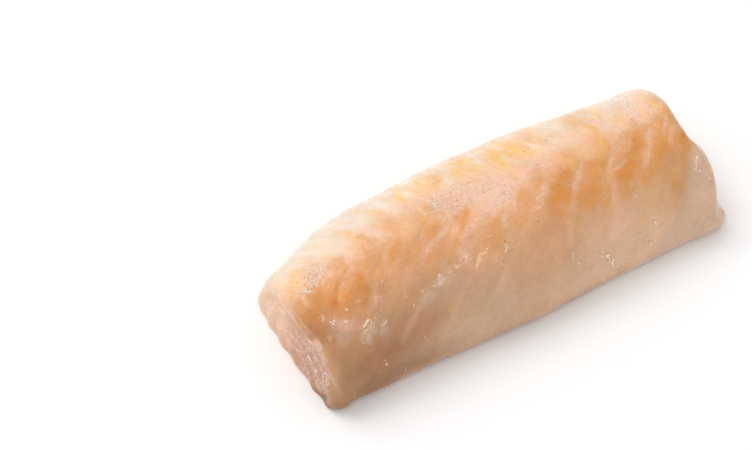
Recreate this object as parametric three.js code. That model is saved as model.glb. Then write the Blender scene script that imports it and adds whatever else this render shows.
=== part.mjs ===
// A skinless saithe loin: the thick back strip of the fillet, cut square at both ends.
//
// The loin lies along X on its flat inner side, with its domed outer side up. The near side
// (towards -Y) is the full, steep one; the far side (towards +Y) thins to a wedge at the left end.
// The flesh is a row of flakes. Where two flakes meet, a seam crosses the outer side as a chevron
// that points to the right: steep above the ridge, and raked well back below it.
//
// Millimetres, +Z up. The origin is under the middle of the loin, on the surface it lies on.
import * as THREE from 'three';

// ---------- The body ----------
const LENGTH = 134;
// Sizes along the length, at equal steps from the left end to the right end.
const NEAR_EDGE = [-24.2, -23.6, -25.0, -25.4, -25.1, -25.9]; // widest line of the near side
const FAR_EDGE = [20.4, 28.2, 28.8, 29.2, 27.0, 22.8]; // widest line of the far side
const RIDGE_HEIGHT = [24.7, 27.6, 28.3, 27.6, 26.0, 23.2];
const RIDGE_LINE = [1.5, 4.5, 2.0, 6.0]; // where the ridge runs, across the loin
// Fullness of a side: 1 is a straight slope, 2 a round one, above 2 a square shoulder.
const NEAR_FULLNESS = [2.2, 2.3, 2.3, 2.5];
const FAR_FULLNESS = [0.95, 2.2, 2.1, 2.6];
const TOP_FULLNESS = 2.15;

const NEAR_WIDEST_AT = 5.5; // height of the widest line above the table
const FAR_WIDEST_AT = 5.0;
const UNDERCUT = 3.7; // how far the belly of a side turns under before it meets the table
const END_ROUND = 3.6; // radius where a side turns into an end cut
const CORNER_DENT = { depth: 0.9, at: 7.5, width: 4.5 }; // in the near side, beside the left corner

// ---------- The end cuts ----------
// Slope, hollow and lean are what the cut travels along X over this distance across or up.
const CUT_SPAN = 25;
const LEFT_CUT = { slope: -0.8, hollow: 1.2, lean: 2.2 };
const LEFT_LIP = { by: -0.7, y: [14, 20], z: [4, 9] }; // thin flesh left low on the far side
const LEFT_DENT = { by: 1.2, y: [3, 9], z: 13, height: 4 }; // above the lip
const LEFT_FOOT = { by: -0.5, y: -22, width: 6, z: 3, height: 5 };
const LEFT_FLAKES = { by: 0.35, y: -4, z: 4, wave: 6.0, phase: 0 };

const RIGHT_CUT = { slope: 0.9, hollow: -1.5, lean: -3.6 };
const RIGHT_END = LENGTH / 2 - 0.4;
const RIGHT_NOTCH = { by: -0.9, y: -1, width: 7, z: [12, 20] }; // where the two layers part
const RIGHT_LAYER = { by: 0.9, y: [4, 8] }; // the near, second layer stands out past the rest
const RIGHT_WAIST = { by: -2.5, y: [8, 18], z: 10.5, height: 5 };
const RIGHT_FLAKES = { by: 0.35, y: -2, z: 5.3, wave: 6.6, phase: 1.2 };
const CUT_FLAKE_SQUASH = 1.5; // the rings of cut flakes are this much wider than high

// ---------- The flakes ----------
const FLAKE_PITCH = 13.4;
const FIRST_SEAM = 8.6; // from the left end, on the ridge
const SEAM_DRIFT = 2.0; // the seams lag by this much in mid-length
const NEAR_RAKE = 1.15; // how far a seam runs back for each millimetre down the near side
const NEAR_HOOK = 2.5; // extra run-back close to the ridge
const HOOK_REACH = 3.0;
const FAR_RAKE = 0.4;
const SEAM_DEPTH = 0.42;
const SEAM_HALF_WIDTH = 1.8;
const FLAKE_CROWN = 0.6; // how much a flake swells between its seams
const SEAM_SHOW = { least: 0.35, at: -2, width: 15 }; // seams are clearest along the ridge

// The second layer lies lower than the flakes above it. They end at a crease, which starts in the
// notch of the right end and curves back down the near side.
const CREASE = { fromEnd: 5, girth: 12, rake: 0.55, curlFrom: 24, curl: 0.06, softness: [-0.8, 1] };
const LAYER_DROP = { depth: 0.9, from: [6, 11], until: [24, 33] };

// Broad unevenness of the flesh.
const SHOULDER = { height: 0.7, at: 9, width: 7, wave: 60, phase: 0.6 };
const SWELL = { height: 0.4, alongWave: 46, acrossWave: 51, tilt: 11, sway: 23, phase: 1.3 };

// ---------- Resolution ----------
const STATIONS = 74; // sections along the length, between the rounded ends
const END_STATIONS = 4; // sections in each rounded end
const DOME_POINTS = 52; // points over the dome of a section
const TUCK_POINTS = 4; // points down each undercut
const CUT_RINGS = [0.93, 0.8, 0.6, 0.36, 0.16]; // shrinking rings that fill an end cut
const CUT_HEART = { y: -1, z: 11 }; // where they shrink to

// ---------- Small helpers ----------
const clamp = (v, low, high) => Math.min(high, Math.max(low, v));
const bump = (v, width) => Math.exp(-((v / width) ** 2));
const wave = (v, length, phase) => Math.sin((2 * Math.PI * v) / length + phase);
const ramp = ([low, high], v) => {
  const s = clamp((v - low) / (high - low), 0, 1);
  return s * s * (3 - 2 * s);
};

// A Catmull-Rom curve through equally spaced values, read at t from 0 to 1.
function along(values, t) {
  const last = values.length - 1;
  const place = clamp(t, 0, 1) * last;
  const i = Math.min(Math.floor(place), last - 1);
  const f = place - i;
  const b = values[i];
  const c = values[i + 1];
  const a = i > 0 ? values[i - 1] : 2 * b - c;
  const d = i + 2 <= last ? values[i + 2] : 2 * c - b;
  return (
    0.5 *
    (2 * b + (c - a) * f + (2 * a - 5 * b + 4 * c - d) * f ** 2 + (3 * b - a - 3 * c + d) * f ** 3)
  );
}

// ---------- The two end cuts: x at which the loin ends, for a point (y, z) of its section ----------
function bladeCut(cut, y, z) {
  return (cut.slope * y + cut.lean * z) / CUT_SPAN + cut.hollow * (y / CUT_SPAN) ** 2;
}

// The flakes show in a cut as faint rings round a point low in the flesh.
function cutFlakes(flakes, y, z) {
  const radius = Math.hypot(y - flakes.y, CUT_FLAKE_SQUASH * (z - flakes.z));
  return flakes.by * wave(radius, flakes.wave, flakes.phase);
}

function leftCut(y, z) {
  const lip = LEFT_LIP.by * ramp(LEFT_LIP.y, y) * (1 - ramp(LEFT_LIP.z, z));
  const dent = LEFT_DENT.by * ramp(LEFT_DENT.y, y) * bump(z - LEFT_DENT.z, LEFT_DENT.height);
  const foot =
    LEFT_FOOT.by * bump(y - LEFT_FOOT.y, LEFT_FOOT.width) * bump(z - LEFT_FOOT.z, LEFT_FOOT.height);
  return -LENGTH / 2 + bladeCut(LEFT_CUT, y, z) + lip + dent + foot + cutFlakes(LEFT_FLAKES, y, z);
}

function rightCut(y, z) {
  const notch = RIGHT_NOTCH.by * bump(y - RIGHT_NOTCH.y, RIGHT_NOTCH.width) * ramp(RIGHT_NOTCH.z, z);
  const layer = RIGHT_LAYER.by * ramp(RIGHT_LAYER.y, -y);
  const waist = RIGHT_WAIST.by * ramp(RIGHT_WAIST.y, -y) * bump(z - RIGHT_WAIST.z, RIGHT_WAIST.height);
  return RIGHT_END + bladeCut(RIGHT_CUT, y, z) + notch + layer + waist + cutFlakes(RIGHT_FLAKES, y, z);
}

// ---------- Surface relief, outwards in millimetres ----------
// Girth g is the distance along the outer surface from the ridge, positive down the near side.
function seamRunBack(g) {
  if (g < 0) return FAR_RAKE * -g;
  return NEAR_RAKE * g + NEAR_HOOK * (1 - Math.exp(-g / HOOK_REACH));
}

// Distance from the nearest seam, in millimetres along X.
function fromSeam(x, g) {
  const fromLeft = x + LENGTH / 2;
  const drift = SEAM_DRIFT * Math.sin((Math.PI * clamp(fromLeft, 0, LENGTH)) / LENGTH) ** 2;
  const phase = (fromLeft + seamRunBack(g) + drift - FIRST_SEAM) / FLAKE_PITCH;
  return (phase - Math.round(phase)) * FLAKE_PITCH;
}

function flakes(x, g) {
  const d = fromSeam(x, g);
  const shown = SEAM_SHOW.least + (1 - SEAM_SHOW.least) * bump(g - SEAM_SHOW.at, SEAM_SHOW.width);
  const seam = -SEAM_DEPTH * bump(d, SEAM_HALF_WIDTH);
  const crown = FLAKE_CROWN * (Math.abs(Math.sin((Math.PI * d) / FLAKE_PITCH)) - 0.5);
  return shown * (seam + crown);
}

function layerDrop(x, g) {
  const curl = CREASE.curl * Math.max(0, g - CREASE.curlFrom) ** 2;
  const crease = LENGTH / 2 - CREASE.fromEnd - CREASE.rake * (g - CREASE.girth) - curl;
  const shown = ramp(LAYER_DROP.from, g) * (1 - ramp(LAYER_DROP.until, g));
  return -LAYER_DROP.depth * shown * ramp(CREASE.softness, x - crease);
}

function relief(x, g) {
  const shoulder =
    SHOULDER.height * bump(g - SHOULDER.at, SHOULDER.width) * wave(x, SHOULDER.wave, SHOULDER.phase);
  const swell =
    SWELL.height *
    wave(x, SWELL.alongWave, g / SWELL.tilt + SWELL.phase) *
    wave(g, SWELL.acrossWave, -x / SWELL.sway);
  return flakes(x, g) + layerDrop(x, g) + shoulder + swell;
}

// ---------- One section: a ring of { y, z, g } from the near foot over the top to the far foot ----------
function tuck(side, edge, widestAt, i) {
  const a = (Math.PI / 2) * (i / TUCK_POINTS);
  return { y: edge - side * UNDERCUT * (1 - Math.cos(a)), z: widestAt * (1 - Math.sin(a)) };
}

function sectionRing(t) {
  const fromEnd = Math.min(t, 1 - t) * LENGTH;
  const inset =
    fromEnd < END_ROUND ? END_ROUND - Math.sqrt(END_ROUND ** 2 - (END_ROUND - fromEnd) ** 2) : 0;
  const dent = CORNER_DENT.depth * bump(t * LENGTH - CORNER_DENT.at, CORNER_DENT.width);
  const near = along(NEAR_EDGE, t) + inset + dent;
  const far = along(FAR_EDGE, t) - inset;
  const height = along(RIDGE_HEIGHT, t) - inset;
  const ridge = along(RIDGE_LINE, t);
  const nearFull = along(NEAR_FULLNESS, t);
  const farFull = along(FAR_FULLNESS, t);

  const ring = [];
  for (let i = TUCK_POINTS; i > 0; i--) ring.push(tuck(-1, near, NEAR_WIDEST_AT, i));
  for (let i = 0; i < DOME_POINTS; i++) {
    const a = (Math.PI * i) / (DOME_POINTS - 1);
    const [edge, widestAt, full] =
      a <= Math.PI / 2 ? [near, NEAR_WIDEST_AT, nearFull] : [far, FAR_WIDEST_AT, farFull];
    const out = Math.abs(Math.cos(a)) ** (2 / full);
    const up = Math.max(0, Math.sin(a)) ** (2 / TOP_FULLNESS);
    ring.push({ y: ridge + (edge - ridge) * out, z: widestAt + (height - widestAt) * up });
  }
  for (let i = 1; i <= TUCK_POINTS; i++) ring.push(tuck(1, far, FAR_WIDEST_AT, i));

  // Girth, measured from the highest point of the ring.
  let girth = 0;
  ring.forEach((p, i) => {
    if (i > 0) girth += Math.hypot(p.y - ring[i - 1].y, p.z - ring[i - 1].z);
    p.g = -girth;
  });
  const top = ring.reduce((best, p) => (p.z > best.z ? p : best)).g;
  ring.forEach((p) => (p.g -= top));
  return ring;
}

// Moves a ring's points outwards by the relief, which dies out at the end cuts and at the table.
function withRelief(ring, t) {
  const x = (t - 0.5) * LENGTH;
  const fadeAtEnds = ramp([-1.2, 2.4], Math.min(t, 1 - t) * LENGTH);
  return ring.map((p, i) => {
    const before = ring[Math.max(i - 1, 0)];
    const after = ring[Math.min(i + 1, ring.length - 1)];
    const run = Math.hypot(after.y - before.y, after.z - before.z);
    const out = relief(x, p.g) * ramp([0.2, 5], p.z) * fadeAtEnds;
    return {
      y: p.y - ((after.z - before.z) / run) * out,
      z: Math.max(0, p.z + ((after.y - before.y) / run) * out),
    };
  });
}

// ---------- The whole surface ----------
// Sections as shares of the length: close together in the rounded ends, even in between.
function stationList() {
  const round = END_ROUND / LENGTH;
  const list = [];
  for (let i = 0; i < END_STATIONS; i++) list.push(round * (i / END_STATIONS) ** 1.5);
  for (let i = 0; i < STATIONS; i++) list.push(round + ((1 - 2 * round) * i) / (STATIONS - 1));
  for (let i = END_STATIONS - 1; i >= 0; i--) list.push(1 - round * (i / END_STATIONS) ** 1.5);
  return list;
}

// A ring of an end cut: the end section shrunk towards the heart of the cut.
const shrunk = (ring, share) =>
  ring.map((p) => ({
    y: CUT_HEART.y + (p.y - CUT_HEART.y) * share,
    z: CUT_HEART.z + (p.z - CUT_HEART.z) * share,
  }));

// Places a section point in space: the loin is stretched between its two end cuts.
function placed(p, t) {
  const left = leftCut(p.y, p.z);
  return [left + (rightCut(p.y, p.z) - left) * t, p.y, p.z];
}

function loinGeometry() {
  const rings = stationList().map((t) => ({ t, ring: withRelief(sectionRing(t), t) }));
  const leftEnd = rings[0].ring;
  const rightEnd = rings[rings.length - 1].ring;
  const all = [
    ...[...CUT_RINGS].reverse().map((share) => ({ t: 0, ring: shrunk(leftEnd, share) })),
    ...rings,
    ...CUT_RINGS.map((share) => ({ t: 1, ring: shrunk(rightEnd, share) })),
  ];
  const count = leftEnd.length;
  const points = all.flatMap(({ t, ring }) => ring.map((p) => placed(p, t)));
  const leftHeart = points.push(placed(CUT_HEART, 0)) - 1;
  const rightHeart = points.push(placed(CUT_HEART, 1)) - 1;

  const faces = [];
  const lastRing = (all.length - 1) * count;
  for (let j = 0; j < count; j++) {
    const k = (j + 1) % count;
    faces.push([leftHeart, j, k], [rightHeart, lastRing + k, lastRing + j]);
    // Each square is split along the way that the seams run on its side of the ridge.
    const nearSide = j < count / 2;
    for (let here = 0; here < lastRing; here += count) {
      const next = here + count;
      if (nearSide) faces.push([here + j, next + j, next + k], [here + j, next + k, here + k]);
      else faces.push([here + j, next + j, here + k], [here + k, next + j, next + k]);
    }
  }

  const geometry = new THREE.BufferGeometry();
  geometry.setAttribute('position', new THREE.Float32BufferAttribute(points.flat(), 3));
  geometry.setIndex(faces.flat());
  geometry.computeBoundingBox();
  const middle = geometry.boundingBox.getCenter(new THREE.Vector3());
  geometry.translate(-middle.x, -middle.y, -geometry.boundingBox.min.z);
  geometry.computeVertexNormals();
  return geometry;
}

const flesh = new THREE.MeshStandardMaterial({ color: 0xdcb08a, roughness: 0.38, metalness: 0 });

const loin = new THREE.Mesh(loinGeometry(), flesh);
loin.name = 'loin';

const saitheLoin = new THREE.Group();
saitheLoin.add(loin);

export default saitheLoin;
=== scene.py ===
# %% [markdown]
# # A raw saithe loin
#
# The loin is the thick back strip of a skinned fillet, cut square at both ends. It lies on its
# flat inner side, so its domed outer side is up. What makes it look like fish is not its outline:
# it is the row of flakes, the pale threads between them, the orange flesh along the ridge and the
# wet, slightly see-through surface. This lesson builds those one after the other.
#
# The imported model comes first, and everything is built in its frame. The flesh is typed in
# millimetres, which MM turns into metres. Floor, lamps and camera are typed in metres.

import itertools
from types import SimpleNamespace

import bpy
import numpy as np
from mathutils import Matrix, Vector


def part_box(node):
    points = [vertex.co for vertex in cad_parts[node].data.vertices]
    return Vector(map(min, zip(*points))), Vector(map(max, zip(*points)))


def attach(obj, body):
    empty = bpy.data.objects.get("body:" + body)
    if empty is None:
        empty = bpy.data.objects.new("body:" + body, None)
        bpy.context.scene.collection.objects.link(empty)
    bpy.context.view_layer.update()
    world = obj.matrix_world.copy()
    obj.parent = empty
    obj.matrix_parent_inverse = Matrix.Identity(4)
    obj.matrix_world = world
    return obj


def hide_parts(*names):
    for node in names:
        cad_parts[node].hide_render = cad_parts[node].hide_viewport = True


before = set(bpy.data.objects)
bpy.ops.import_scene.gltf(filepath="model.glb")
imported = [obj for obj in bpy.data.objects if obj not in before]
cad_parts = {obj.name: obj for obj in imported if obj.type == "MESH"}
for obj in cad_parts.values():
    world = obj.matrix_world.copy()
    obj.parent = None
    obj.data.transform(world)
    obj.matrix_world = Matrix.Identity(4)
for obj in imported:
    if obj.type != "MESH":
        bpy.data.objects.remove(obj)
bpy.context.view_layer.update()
MM = 0.001


# %% [markdown]
# ## Helpers for soft shapes
#
# Flesh has no sharp formula, so nearly every shape below is a sum of four things: a bump, a wave,
# a ramp between two values, and a curve through a few sizes along the loin. Lattice noise adds what
# no rule explains. All of them take whole numpy arrays, which keeps nearly a hundred thousand
# points quick.

# %% Helpers
def bump(v, width):
    """A bell: one at v = 0, and exp(-(v / width) squared) away from it."""
    return np.exp(-((v / width) ** 2))


def wave(v, length, phase=0.0):
    """A sine that repeats after this length."""
    return np.sin(2 * np.pi * v / length + phase)


def ramp(ends, v):
    """Zero below the first end, one above the second, and 3 s^2 - 2 s^3 in between."""
    s = np.clip((v - ends[0]) / (ends[1] - ends[0]), 0, 1)
    return s * s * (3 - 2 * s)


def along(values, t):
    """A Catmull-Rom curve through equally spaced values, read at t from 0 to 1."""
    values = np.asarray(values, float)
    padded = np.concatenate([[2 * values[0] - values[1]], values, [2 * values[-1] - values[-2]]])
    place = np.clip(t, 0, 1) * (len(values) - 1)
    i = np.minimum(place.astype(int), len(values) - 2)
    f = place - i
    a, b, c, d = (padded[i + k] for k in range(4))
    cubic = (3 * b - a - 3 * c + d) * f**3
    return 0.5 * (2 * b + (c - a) * f + (2 * a - 5 * b + 4 * c - d) * f**2 + cubic)


LATTICE = 48


def noise(places, size, seed):
    """Noise from -1 to 1: random values on a lattice with this spacing, one number or one for each
    axis, blended by 3 s^2 - 2 s^3 between the eight lattice points round a place."""
    table = np.random.default_rng(seed).uniform(-1, 1, (LATTICE,) * 3)
    sizes = np.broadcast_to(size, 3)
    cells = [np.asarray(p) / s for p, s in zip(places, sizes)]
    low = [np.floor(c).astype(int) for c in cells]
    part = [ramp((0, 1), c - k) for c, k in zip(cells, low)]
    total = 0.0
    for corner in itertools.product((0, 1), repeat=3):
        weight = 1.0
        for f, step in zip(part, corner):
            weight = weight * (f if step else 1 - f)
        i, j, k = ((n + step) % LATTICE for n, step in zip(low, corner))
        total = total + weight * table[i, j, k]
    return total


print("helpers ready: bump, wave, ramp, along, noise")


# %% [markdown]
# ## The body
#
# The real piece is a strip of muscle: a full, steep near side, a far side that thins to a wedge at
# the left end, and a rounded ridge. A sculpted block could do it, but a section that changes along
# the length is easier to steer: each section is a super-ellipse from foot to foot, and a few sizes
# along the loin say how wide, high and full it is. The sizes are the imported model's own, so the
# fine surface follows the solid that it stands for, apart from its softer relief.

# %% Sizes of the body, in millimetres
LENGTH = 134
NEAR_EDGE = [-24.2, -23.6, -25.0, -25.4, -25.1, -25.9]
FAR_EDGE = [20.4, 28.2, 28.8, 29.2, 27.0, 22.8]
RIDGE_HEIGHT = [24.7, 27.6, 28.3, 27.6, 26.0, 23.2]
RIDGE_LINE = [1.5, 4.5, 2.0, 6.0]
NEAR_FULLNESS = [2.2, 2.3, 2.3, 2.5]
FAR_FULLNESS = [0.95, 2.2, 2.1, 2.6]
TOP_FULLNESS = 2.15
NEAR_WIDEST_AT = 5.5
FAR_WIDEST_AT = 5.0
UNDERCUT = 3.7
END_ROUND = 3.6
CORNER_DENT = {"depth": 0.9, "at": 7.5, "width": 4.5}

DOME_POINTS = 208
TUCK_POINTS = 12
SOLE_POINTS = 24


def tuck(edge, widest_at, side, a):
    """The belly of a side: a quarter ellipse from its widest line (a = 0) under to the table."""
    return edge - side * UNDERCUT * (1 - np.cos(a)), widest_at * (1 - np.sin(a)) + 0 * edge


def section_rings(t):
    """Rings of (y, z, girth) at shares t of the length, from the near foot over the top to the far
    foot, and back along the flat sole. The dome is a super-ellipse: out = |cos a|^(2 / fullness),
    up = (sin a)^(2 / top fullness). Girth is the distance from the highest point, down the near
    side."""
    t = np.asarray(t, float)[:, None]
    from_end = np.minimum(t, 1 - t) * LENGTH
    inset = END_ROUND - np.sqrt(END_ROUND**2 - np.clip(END_ROUND - from_end, 0, None) ** 2)
    dent = CORNER_DENT["depth"] * bump(t * LENGTH - CORNER_DENT["at"], CORNER_DENT["width"])
    near = along(NEAR_EDGE, t) + inset + dent
    far = along(FAR_EDGE, t) - inset
    height = along(RIDGE_HEIGHT, t) - inset
    ridge = along(RIDGE_LINE, t)

    quarter = np.linspace(np.pi / 2, 0, TUCK_POINTS, endpoint=False)[None]
    near_tuck = tuck(near, NEAR_WIDEST_AT, -1, quarter)
    far_tuck = tuck(far, FAR_WIDEST_AT, 1, quarter[:, ::-1])

    a = np.linspace(0, np.pi, DOME_POINTS)[None]
    is_near = a <= np.pi / 2
    fullness = np.where(is_near, along(NEAR_FULLNESS, t), along(FAR_FULLNESS, t))
    widest_at = np.where(is_near, NEAR_WIDEST_AT, FAR_WIDEST_AT)
    out = np.abs(np.cos(a)) ** (2 / fullness)
    up = np.clip(np.sin(a), 0, None) ** (2 / TOP_FULLNESS)
    dome_y = ridge + (np.where(is_near, near, far) - ridge) * out
    dome_z = widest_at + (height - widest_at) * up

    y = np.concatenate([near_tuck[0], dome_y, far_tuck[0]], axis=1)
    z = np.concatenate([near_tuck[1], dome_z, far_tuck[1]], axis=1)
    steps = np.hypot(np.diff(y, axis=1), np.diff(z, axis=1))
    walked = np.concatenate([np.zeros_like(t), np.cumsum(steps, axis=1)], axis=1)
    girth = np.take_along_axis(walked, z.argmax(axis=1)[:, None], axis=1) - walked

    back = np.linspace(0, 1, SOLE_POINTS + 2)[None, 1:-1]
    y = np.concatenate([y, y[:, -1:] + (y[:, :1] - y[:, -1:]) * back], axis=1)
    z = np.concatenate([z, np.zeros_like(t) + 0 * back], axis=1)
    girth = np.concatenate([girth, girth[:, -1:] + (girth[:, :1] - girth[:, -1:]) * back], axis=1)
    return y, z, girth


print("points in a ring:", DOME_POINTS + 2 * TUCK_POINTS + SOLE_POINTS)


# %% [markdown]
# ## The flakes
#
# Fish muscle is a stack of flakes, and the thin sheet between two flakes shows on the outside as a
# seam. On this loin each seam is a chevron that points to the right: raked well back below the
# ridge, and steeper above it, where its run is partly a guess, since little of that side is seen.
# One number carries the whole pattern: the flake number grows by one at each seam, so its fraction
# says how far across a flake a point lies. The relief, and the streaks and threads of the material,
# read it.

# %% Flakes and seams
FLAKE_PITCH = 13.4
FIRST_SEAM = 8.6
SEAM_DRIFT = 2.0
NEAR_RAKE = 1.15
NEAR_HOOK = 2.5
HOOK_REACH = 3.0
FAR_RAKE = 0.4
SEAM_DEPTH = 0.42
SEAM_HALF_WIDTH = 1.8
FLAKE_CROWN = 0.6
SEAM_SHOW = {"least": 0.35, "at": -2, "width": 15}
SEAM_NICK = {"depth": 0.10, "width": 0.5}
SOFTENED = 0.25  # share of the solid's depth: at full depth the seams look like dark grooves


def flake_number(u, g):
    """(u + how far the seam runs back at this girth + drift - first seam) / pitch."""
    down = np.clip(g, 0, None)
    back = np.where(g < 0, FAR_RAKE * -g, NEAR_RAKE * g + NEAR_HOOK * (1 - np.exp(-down / HOOK_REACH)))
    drift = SEAM_DRIFT * np.sin(np.pi * np.clip(u, 0, LENGTH) / LENGTH) ** 2
    return (u + back + drift - FIRST_SEAM) / FLAKE_PITCH


def flake_relief(u, g):
    """A wide soft groove and a narrow nick at each seam, and a pillow between two seams."""
    number = flake_number(u, g)
    d = (number - np.round(number)) * FLAKE_PITCH
    shown = SEAM_SHOW["least"] + (1 - SEAM_SHOW["least"]) * bump(g - SEAM_SHOW["at"], SEAM_SHOW["width"])
    groove = SEAM_DEPTH * bump(d, SEAM_HALF_WIDTH) + SEAM_NICK["depth"] * bump(d, SEAM_NICK["width"])
    crown = FLAKE_CROWN * (np.abs(np.sin(np.pi * d / FLAKE_PITCH)) - 0.5)
    return SOFTENED * shown * (crown - groove)


CREASE = {"from_end": 5, "girth": 12, "rake": 0.55, "curl_from": 24, "curl": 0.06, "softness": (-1.9, 1.5)}
LAYER_DROP = {"depth": 0.9, "from": (6, 11), "until": (24, 33)}


def past_crease(u, g):
    """One on the second, lower layer at the right end, zero on the flakes that end above it."""
    curl = CREASE["curl"] * np.clip(g - CREASE["curl_from"], 0, None) ** 2
    crease = LENGTH - CREASE["from_end"] - CREASE["rake"] * (g - CREASE["girth"]) - curl
    return ramp(CREASE["softness"], u - crease) * ramp(LAYER_DROP["from"], g)


SHOULDER = {"height": 0.7, "at": 9, "width": 7, "wave": 60, "phase": 0.6}
SWELL = {"height": 0.4, "along_wave": 46, "across_wave": 51, "tilt": 11, "sway": 23, "phase": 1.3}
BROW = {"height": 0.8, "u": 4.5, "g": 4.0, "length": 3.2, "girth": 4.5}


def broad_relief(u, g):
    """The second layer's step, a low shoulder, a slow swell, and the brow over the left corner."""
    x = u - LENGTH / 2
    step = LAYER_DROP["depth"] * past_crease(u, g) * (1 - ramp(LAYER_DROP["until"], g))
    shoulder = bump(g - SHOULDER["at"], SHOULDER["width"]) * wave(x, SHOULDER["wave"], SHOULDER["phase"])
    swell_along = wave(x, SWELL["along_wave"], g / SWELL["tilt"] + SWELL["phase"])
    swell_across = wave(g, SWELL["across_wave"], -x / SWELL["sway"])
    brow = BROW["height"] * bump(u - BROW["u"], BROW["length"]) * bump(g - BROW["g"], BROW["girth"])
    return SHOULDER["height"] * shoulder + SWELL["height"] * swell_along * swell_across - step + brow


print("seams on the ridge (mm from the left end):",
      [round(FIRST_SEAM + k * FLAKE_PITCH, 1) for k in range(10)])


# %% [markdown]
# ## Fine unevenness
#
# A knife and two hands have been at this surface. It is never smooth: it ripples softly all over,
# it is torn and crumbly at the left corner of the ridge, and the cut faces are crinkled where the
# blade dragged the wet flesh. Noise does this better than any drawn shape, as long as its size and
# height change from place to place.

# %% Fine relief of the outer side
RIPPLES = [(9.0, 0.22), (3.2, 0.10), (1.3, 0.035)]
CRUMBS = {"u": 7.0, "g": -3.5, "length": 4.5, "girth": 3.5, "size": 1.1, "height": 0.5}


def fine_relief(u, g):
    """Three sizes of ripple, and crumbs round the torn corner of the ridge."""
    places = (u, g, np.zeros_like(u))
    ripple = sum(height * noise(places, size, seed) for seed, (size, height) in enumerate(RIPPLES))
    torn = bump(u - CRUMBS["u"], CRUMBS["length"]) * bump(g - CRUMBS["g"], CRUMBS["girth"])
    return ripple + CRUMBS["height"] * torn * noise(places, CRUMBS["size"], 11)


print("ripples (size mm, height mm):", RIPPLES)


# %% [markdown]
# ## The end cuts
#
# Both ends are knife cuts. A cut isn't a flat disc: it slopes, it is hollow, the flakes stand out in
# it as rings, and the flesh is left longer in some places than in others. Each cut is a height field
# over the section: it says at which x the loin ends for every point (y, z) of a section. The body is
# then stretched between the two, so sides and cuts meet without a join.

# %% The cuts
CUT_SPAN = 25
LEFT_CUT = {"slope": -0.8, "hollow": 1.2, "lean": 2.2}
LEFT_LIP = {"by": -0.7, "y": (14, 20), "z": (4, 9)}
LEFT_DENT = {"by": 1.2, "y": (3, 9), "z": 13, "height": 4}
LEFT_FOOT = {"by": -0.5, "y": -22, "width": 6, "z": 3, "height": 5}
LEFT_FLAKES = {"by": 0.35, "y": -4, "z": 4, "wave": 6.0, "phase": 0}
LEFT_BROW = {"by": -0.9, "y": -3, "width": 5, "z": (20, 24)}
RIGHT_CUT = {"slope": 0.9, "hollow": -1.5, "lean": -3.6}
RIGHT_END = LENGTH / 2 - 0.4
RIGHT_NOTCH = {"by": -0.9, "y": -1, "width": 7, "z": (12, 20)}
RIGHT_LAYER = {"by": 0.9, "y": (4, 8)}
RIGHT_WAIST = {"by": -2.5, "y": (8, 18), "z": 10.5, "height": 5}
RIGHT_FLAKES = {"by": 0.35, "y": -2, "z": 5.3, "wave": 6.6, "phase": 1.2}
CUT_FLAKE_SQUASH = 1.5


def blade(cut, y, z):
    """(slope y + lean z) / span, hollowed by (y / span) squared."""
    return (cut["slope"] * y + cut["lean"] * z) / CUT_SPAN + cut["hollow"] * (y / CUT_SPAN) ** 2


def cut_rings(rings, y, z):
    """Faint rings round a point low in the flesh, wider than high."""
    radius = np.hypot(y - rings["y"], CUT_FLAKE_SQUASH * (z - rings["z"]))
    return rings["by"] * wave(radius, rings["wave"], rings["phase"])


def left_cut(y, z):
    """x of the left cut: blade, lip, dent, foot, brow and rings."""
    lip = LEFT_LIP["by"] * ramp(LEFT_LIP["y"], y) * (1 - ramp(LEFT_LIP["z"], z))
    dent = LEFT_DENT["by"] * ramp(LEFT_DENT["y"], y) * bump(z - LEFT_DENT["z"], LEFT_DENT["height"])
    foot = bump(y - LEFT_FOOT["y"], LEFT_FOOT["width"]) * bump(z - LEFT_FOOT["z"], LEFT_FOOT["height"])
    brow = LEFT_BROW["by"] * bump(y - LEFT_BROW["y"], LEFT_BROW["width"]) * ramp(LEFT_BROW["z"], z)
    shape = blade(LEFT_CUT, y, z) + lip + dent + LEFT_FOOT["by"] * foot + brow
    return -LENGTH / 2 + shape + cut_rings(LEFT_FLAKES, y, z)


def right_cut(y, z):
    """x of the right cut: blade, notch between the two layers, second layer, waist and rings."""
    notch = RIGHT_NOTCH["by"] * bump(y - RIGHT_NOTCH["y"], RIGHT_NOTCH["width"])
    layer = RIGHT_LAYER["by"] * ramp(RIGHT_LAYER["y"], -y)
    waist = RIGHT_WAIST["by"] * ramp(RIGHT_WAIST["y"], -y) * bump(z - RIGHT_WAIST["z"], RIGHT_WAIST["height"])
    shape = blade(RIGHT_CUT, y, z) + notch * ramp(RIGHT_NOTCH["z"], z) + layer + waist
    return RIGHT_END + shape + cut_rings(RIGHT_FLAKES, y, z)


# The blade dragged the flesh: crinkles run down the cut, deepest near the near side.
CRINKLE = {"across": 1.2, "down": 3.6, "depth": 0.80, "small": 0.7, "small_depth": 0.24, "reach": 2.5}
WET_EDGE = {"y": -13, "width": 7, "z": 10, "height": 9}


def crinkle(y, z, seed):
    """Depth of the drag marks in a cut: noise stretched downwards, plus small grains."""
    flat = np.zeros_like(y)
    drag = noise((y + 0.35 * z, z, flat), (CRINKLE["across"], CRINKLE["down"], 1), seed)
    grain = noise((y, z, flat), CRINKLE["small"], seed + 1)
    wet = bump(y - WET_EDGE["y"], WET_EDGE["width"]) * bump(z - WET_EDGE["z"], WET_EDGE["height"])
    depth = CRINKLE["depth"] * (0.5 + 0.5 * drag) + CRINKLE["small_depth"] * (0.5 + 0.5 * grain)
    return (0.3 + 0.7 * wet) * depth


print("cut centres (x mm):", round(float(left_cut(-1, 11)), 1), round(float(right_cut(-1, 11)), 1))


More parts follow.
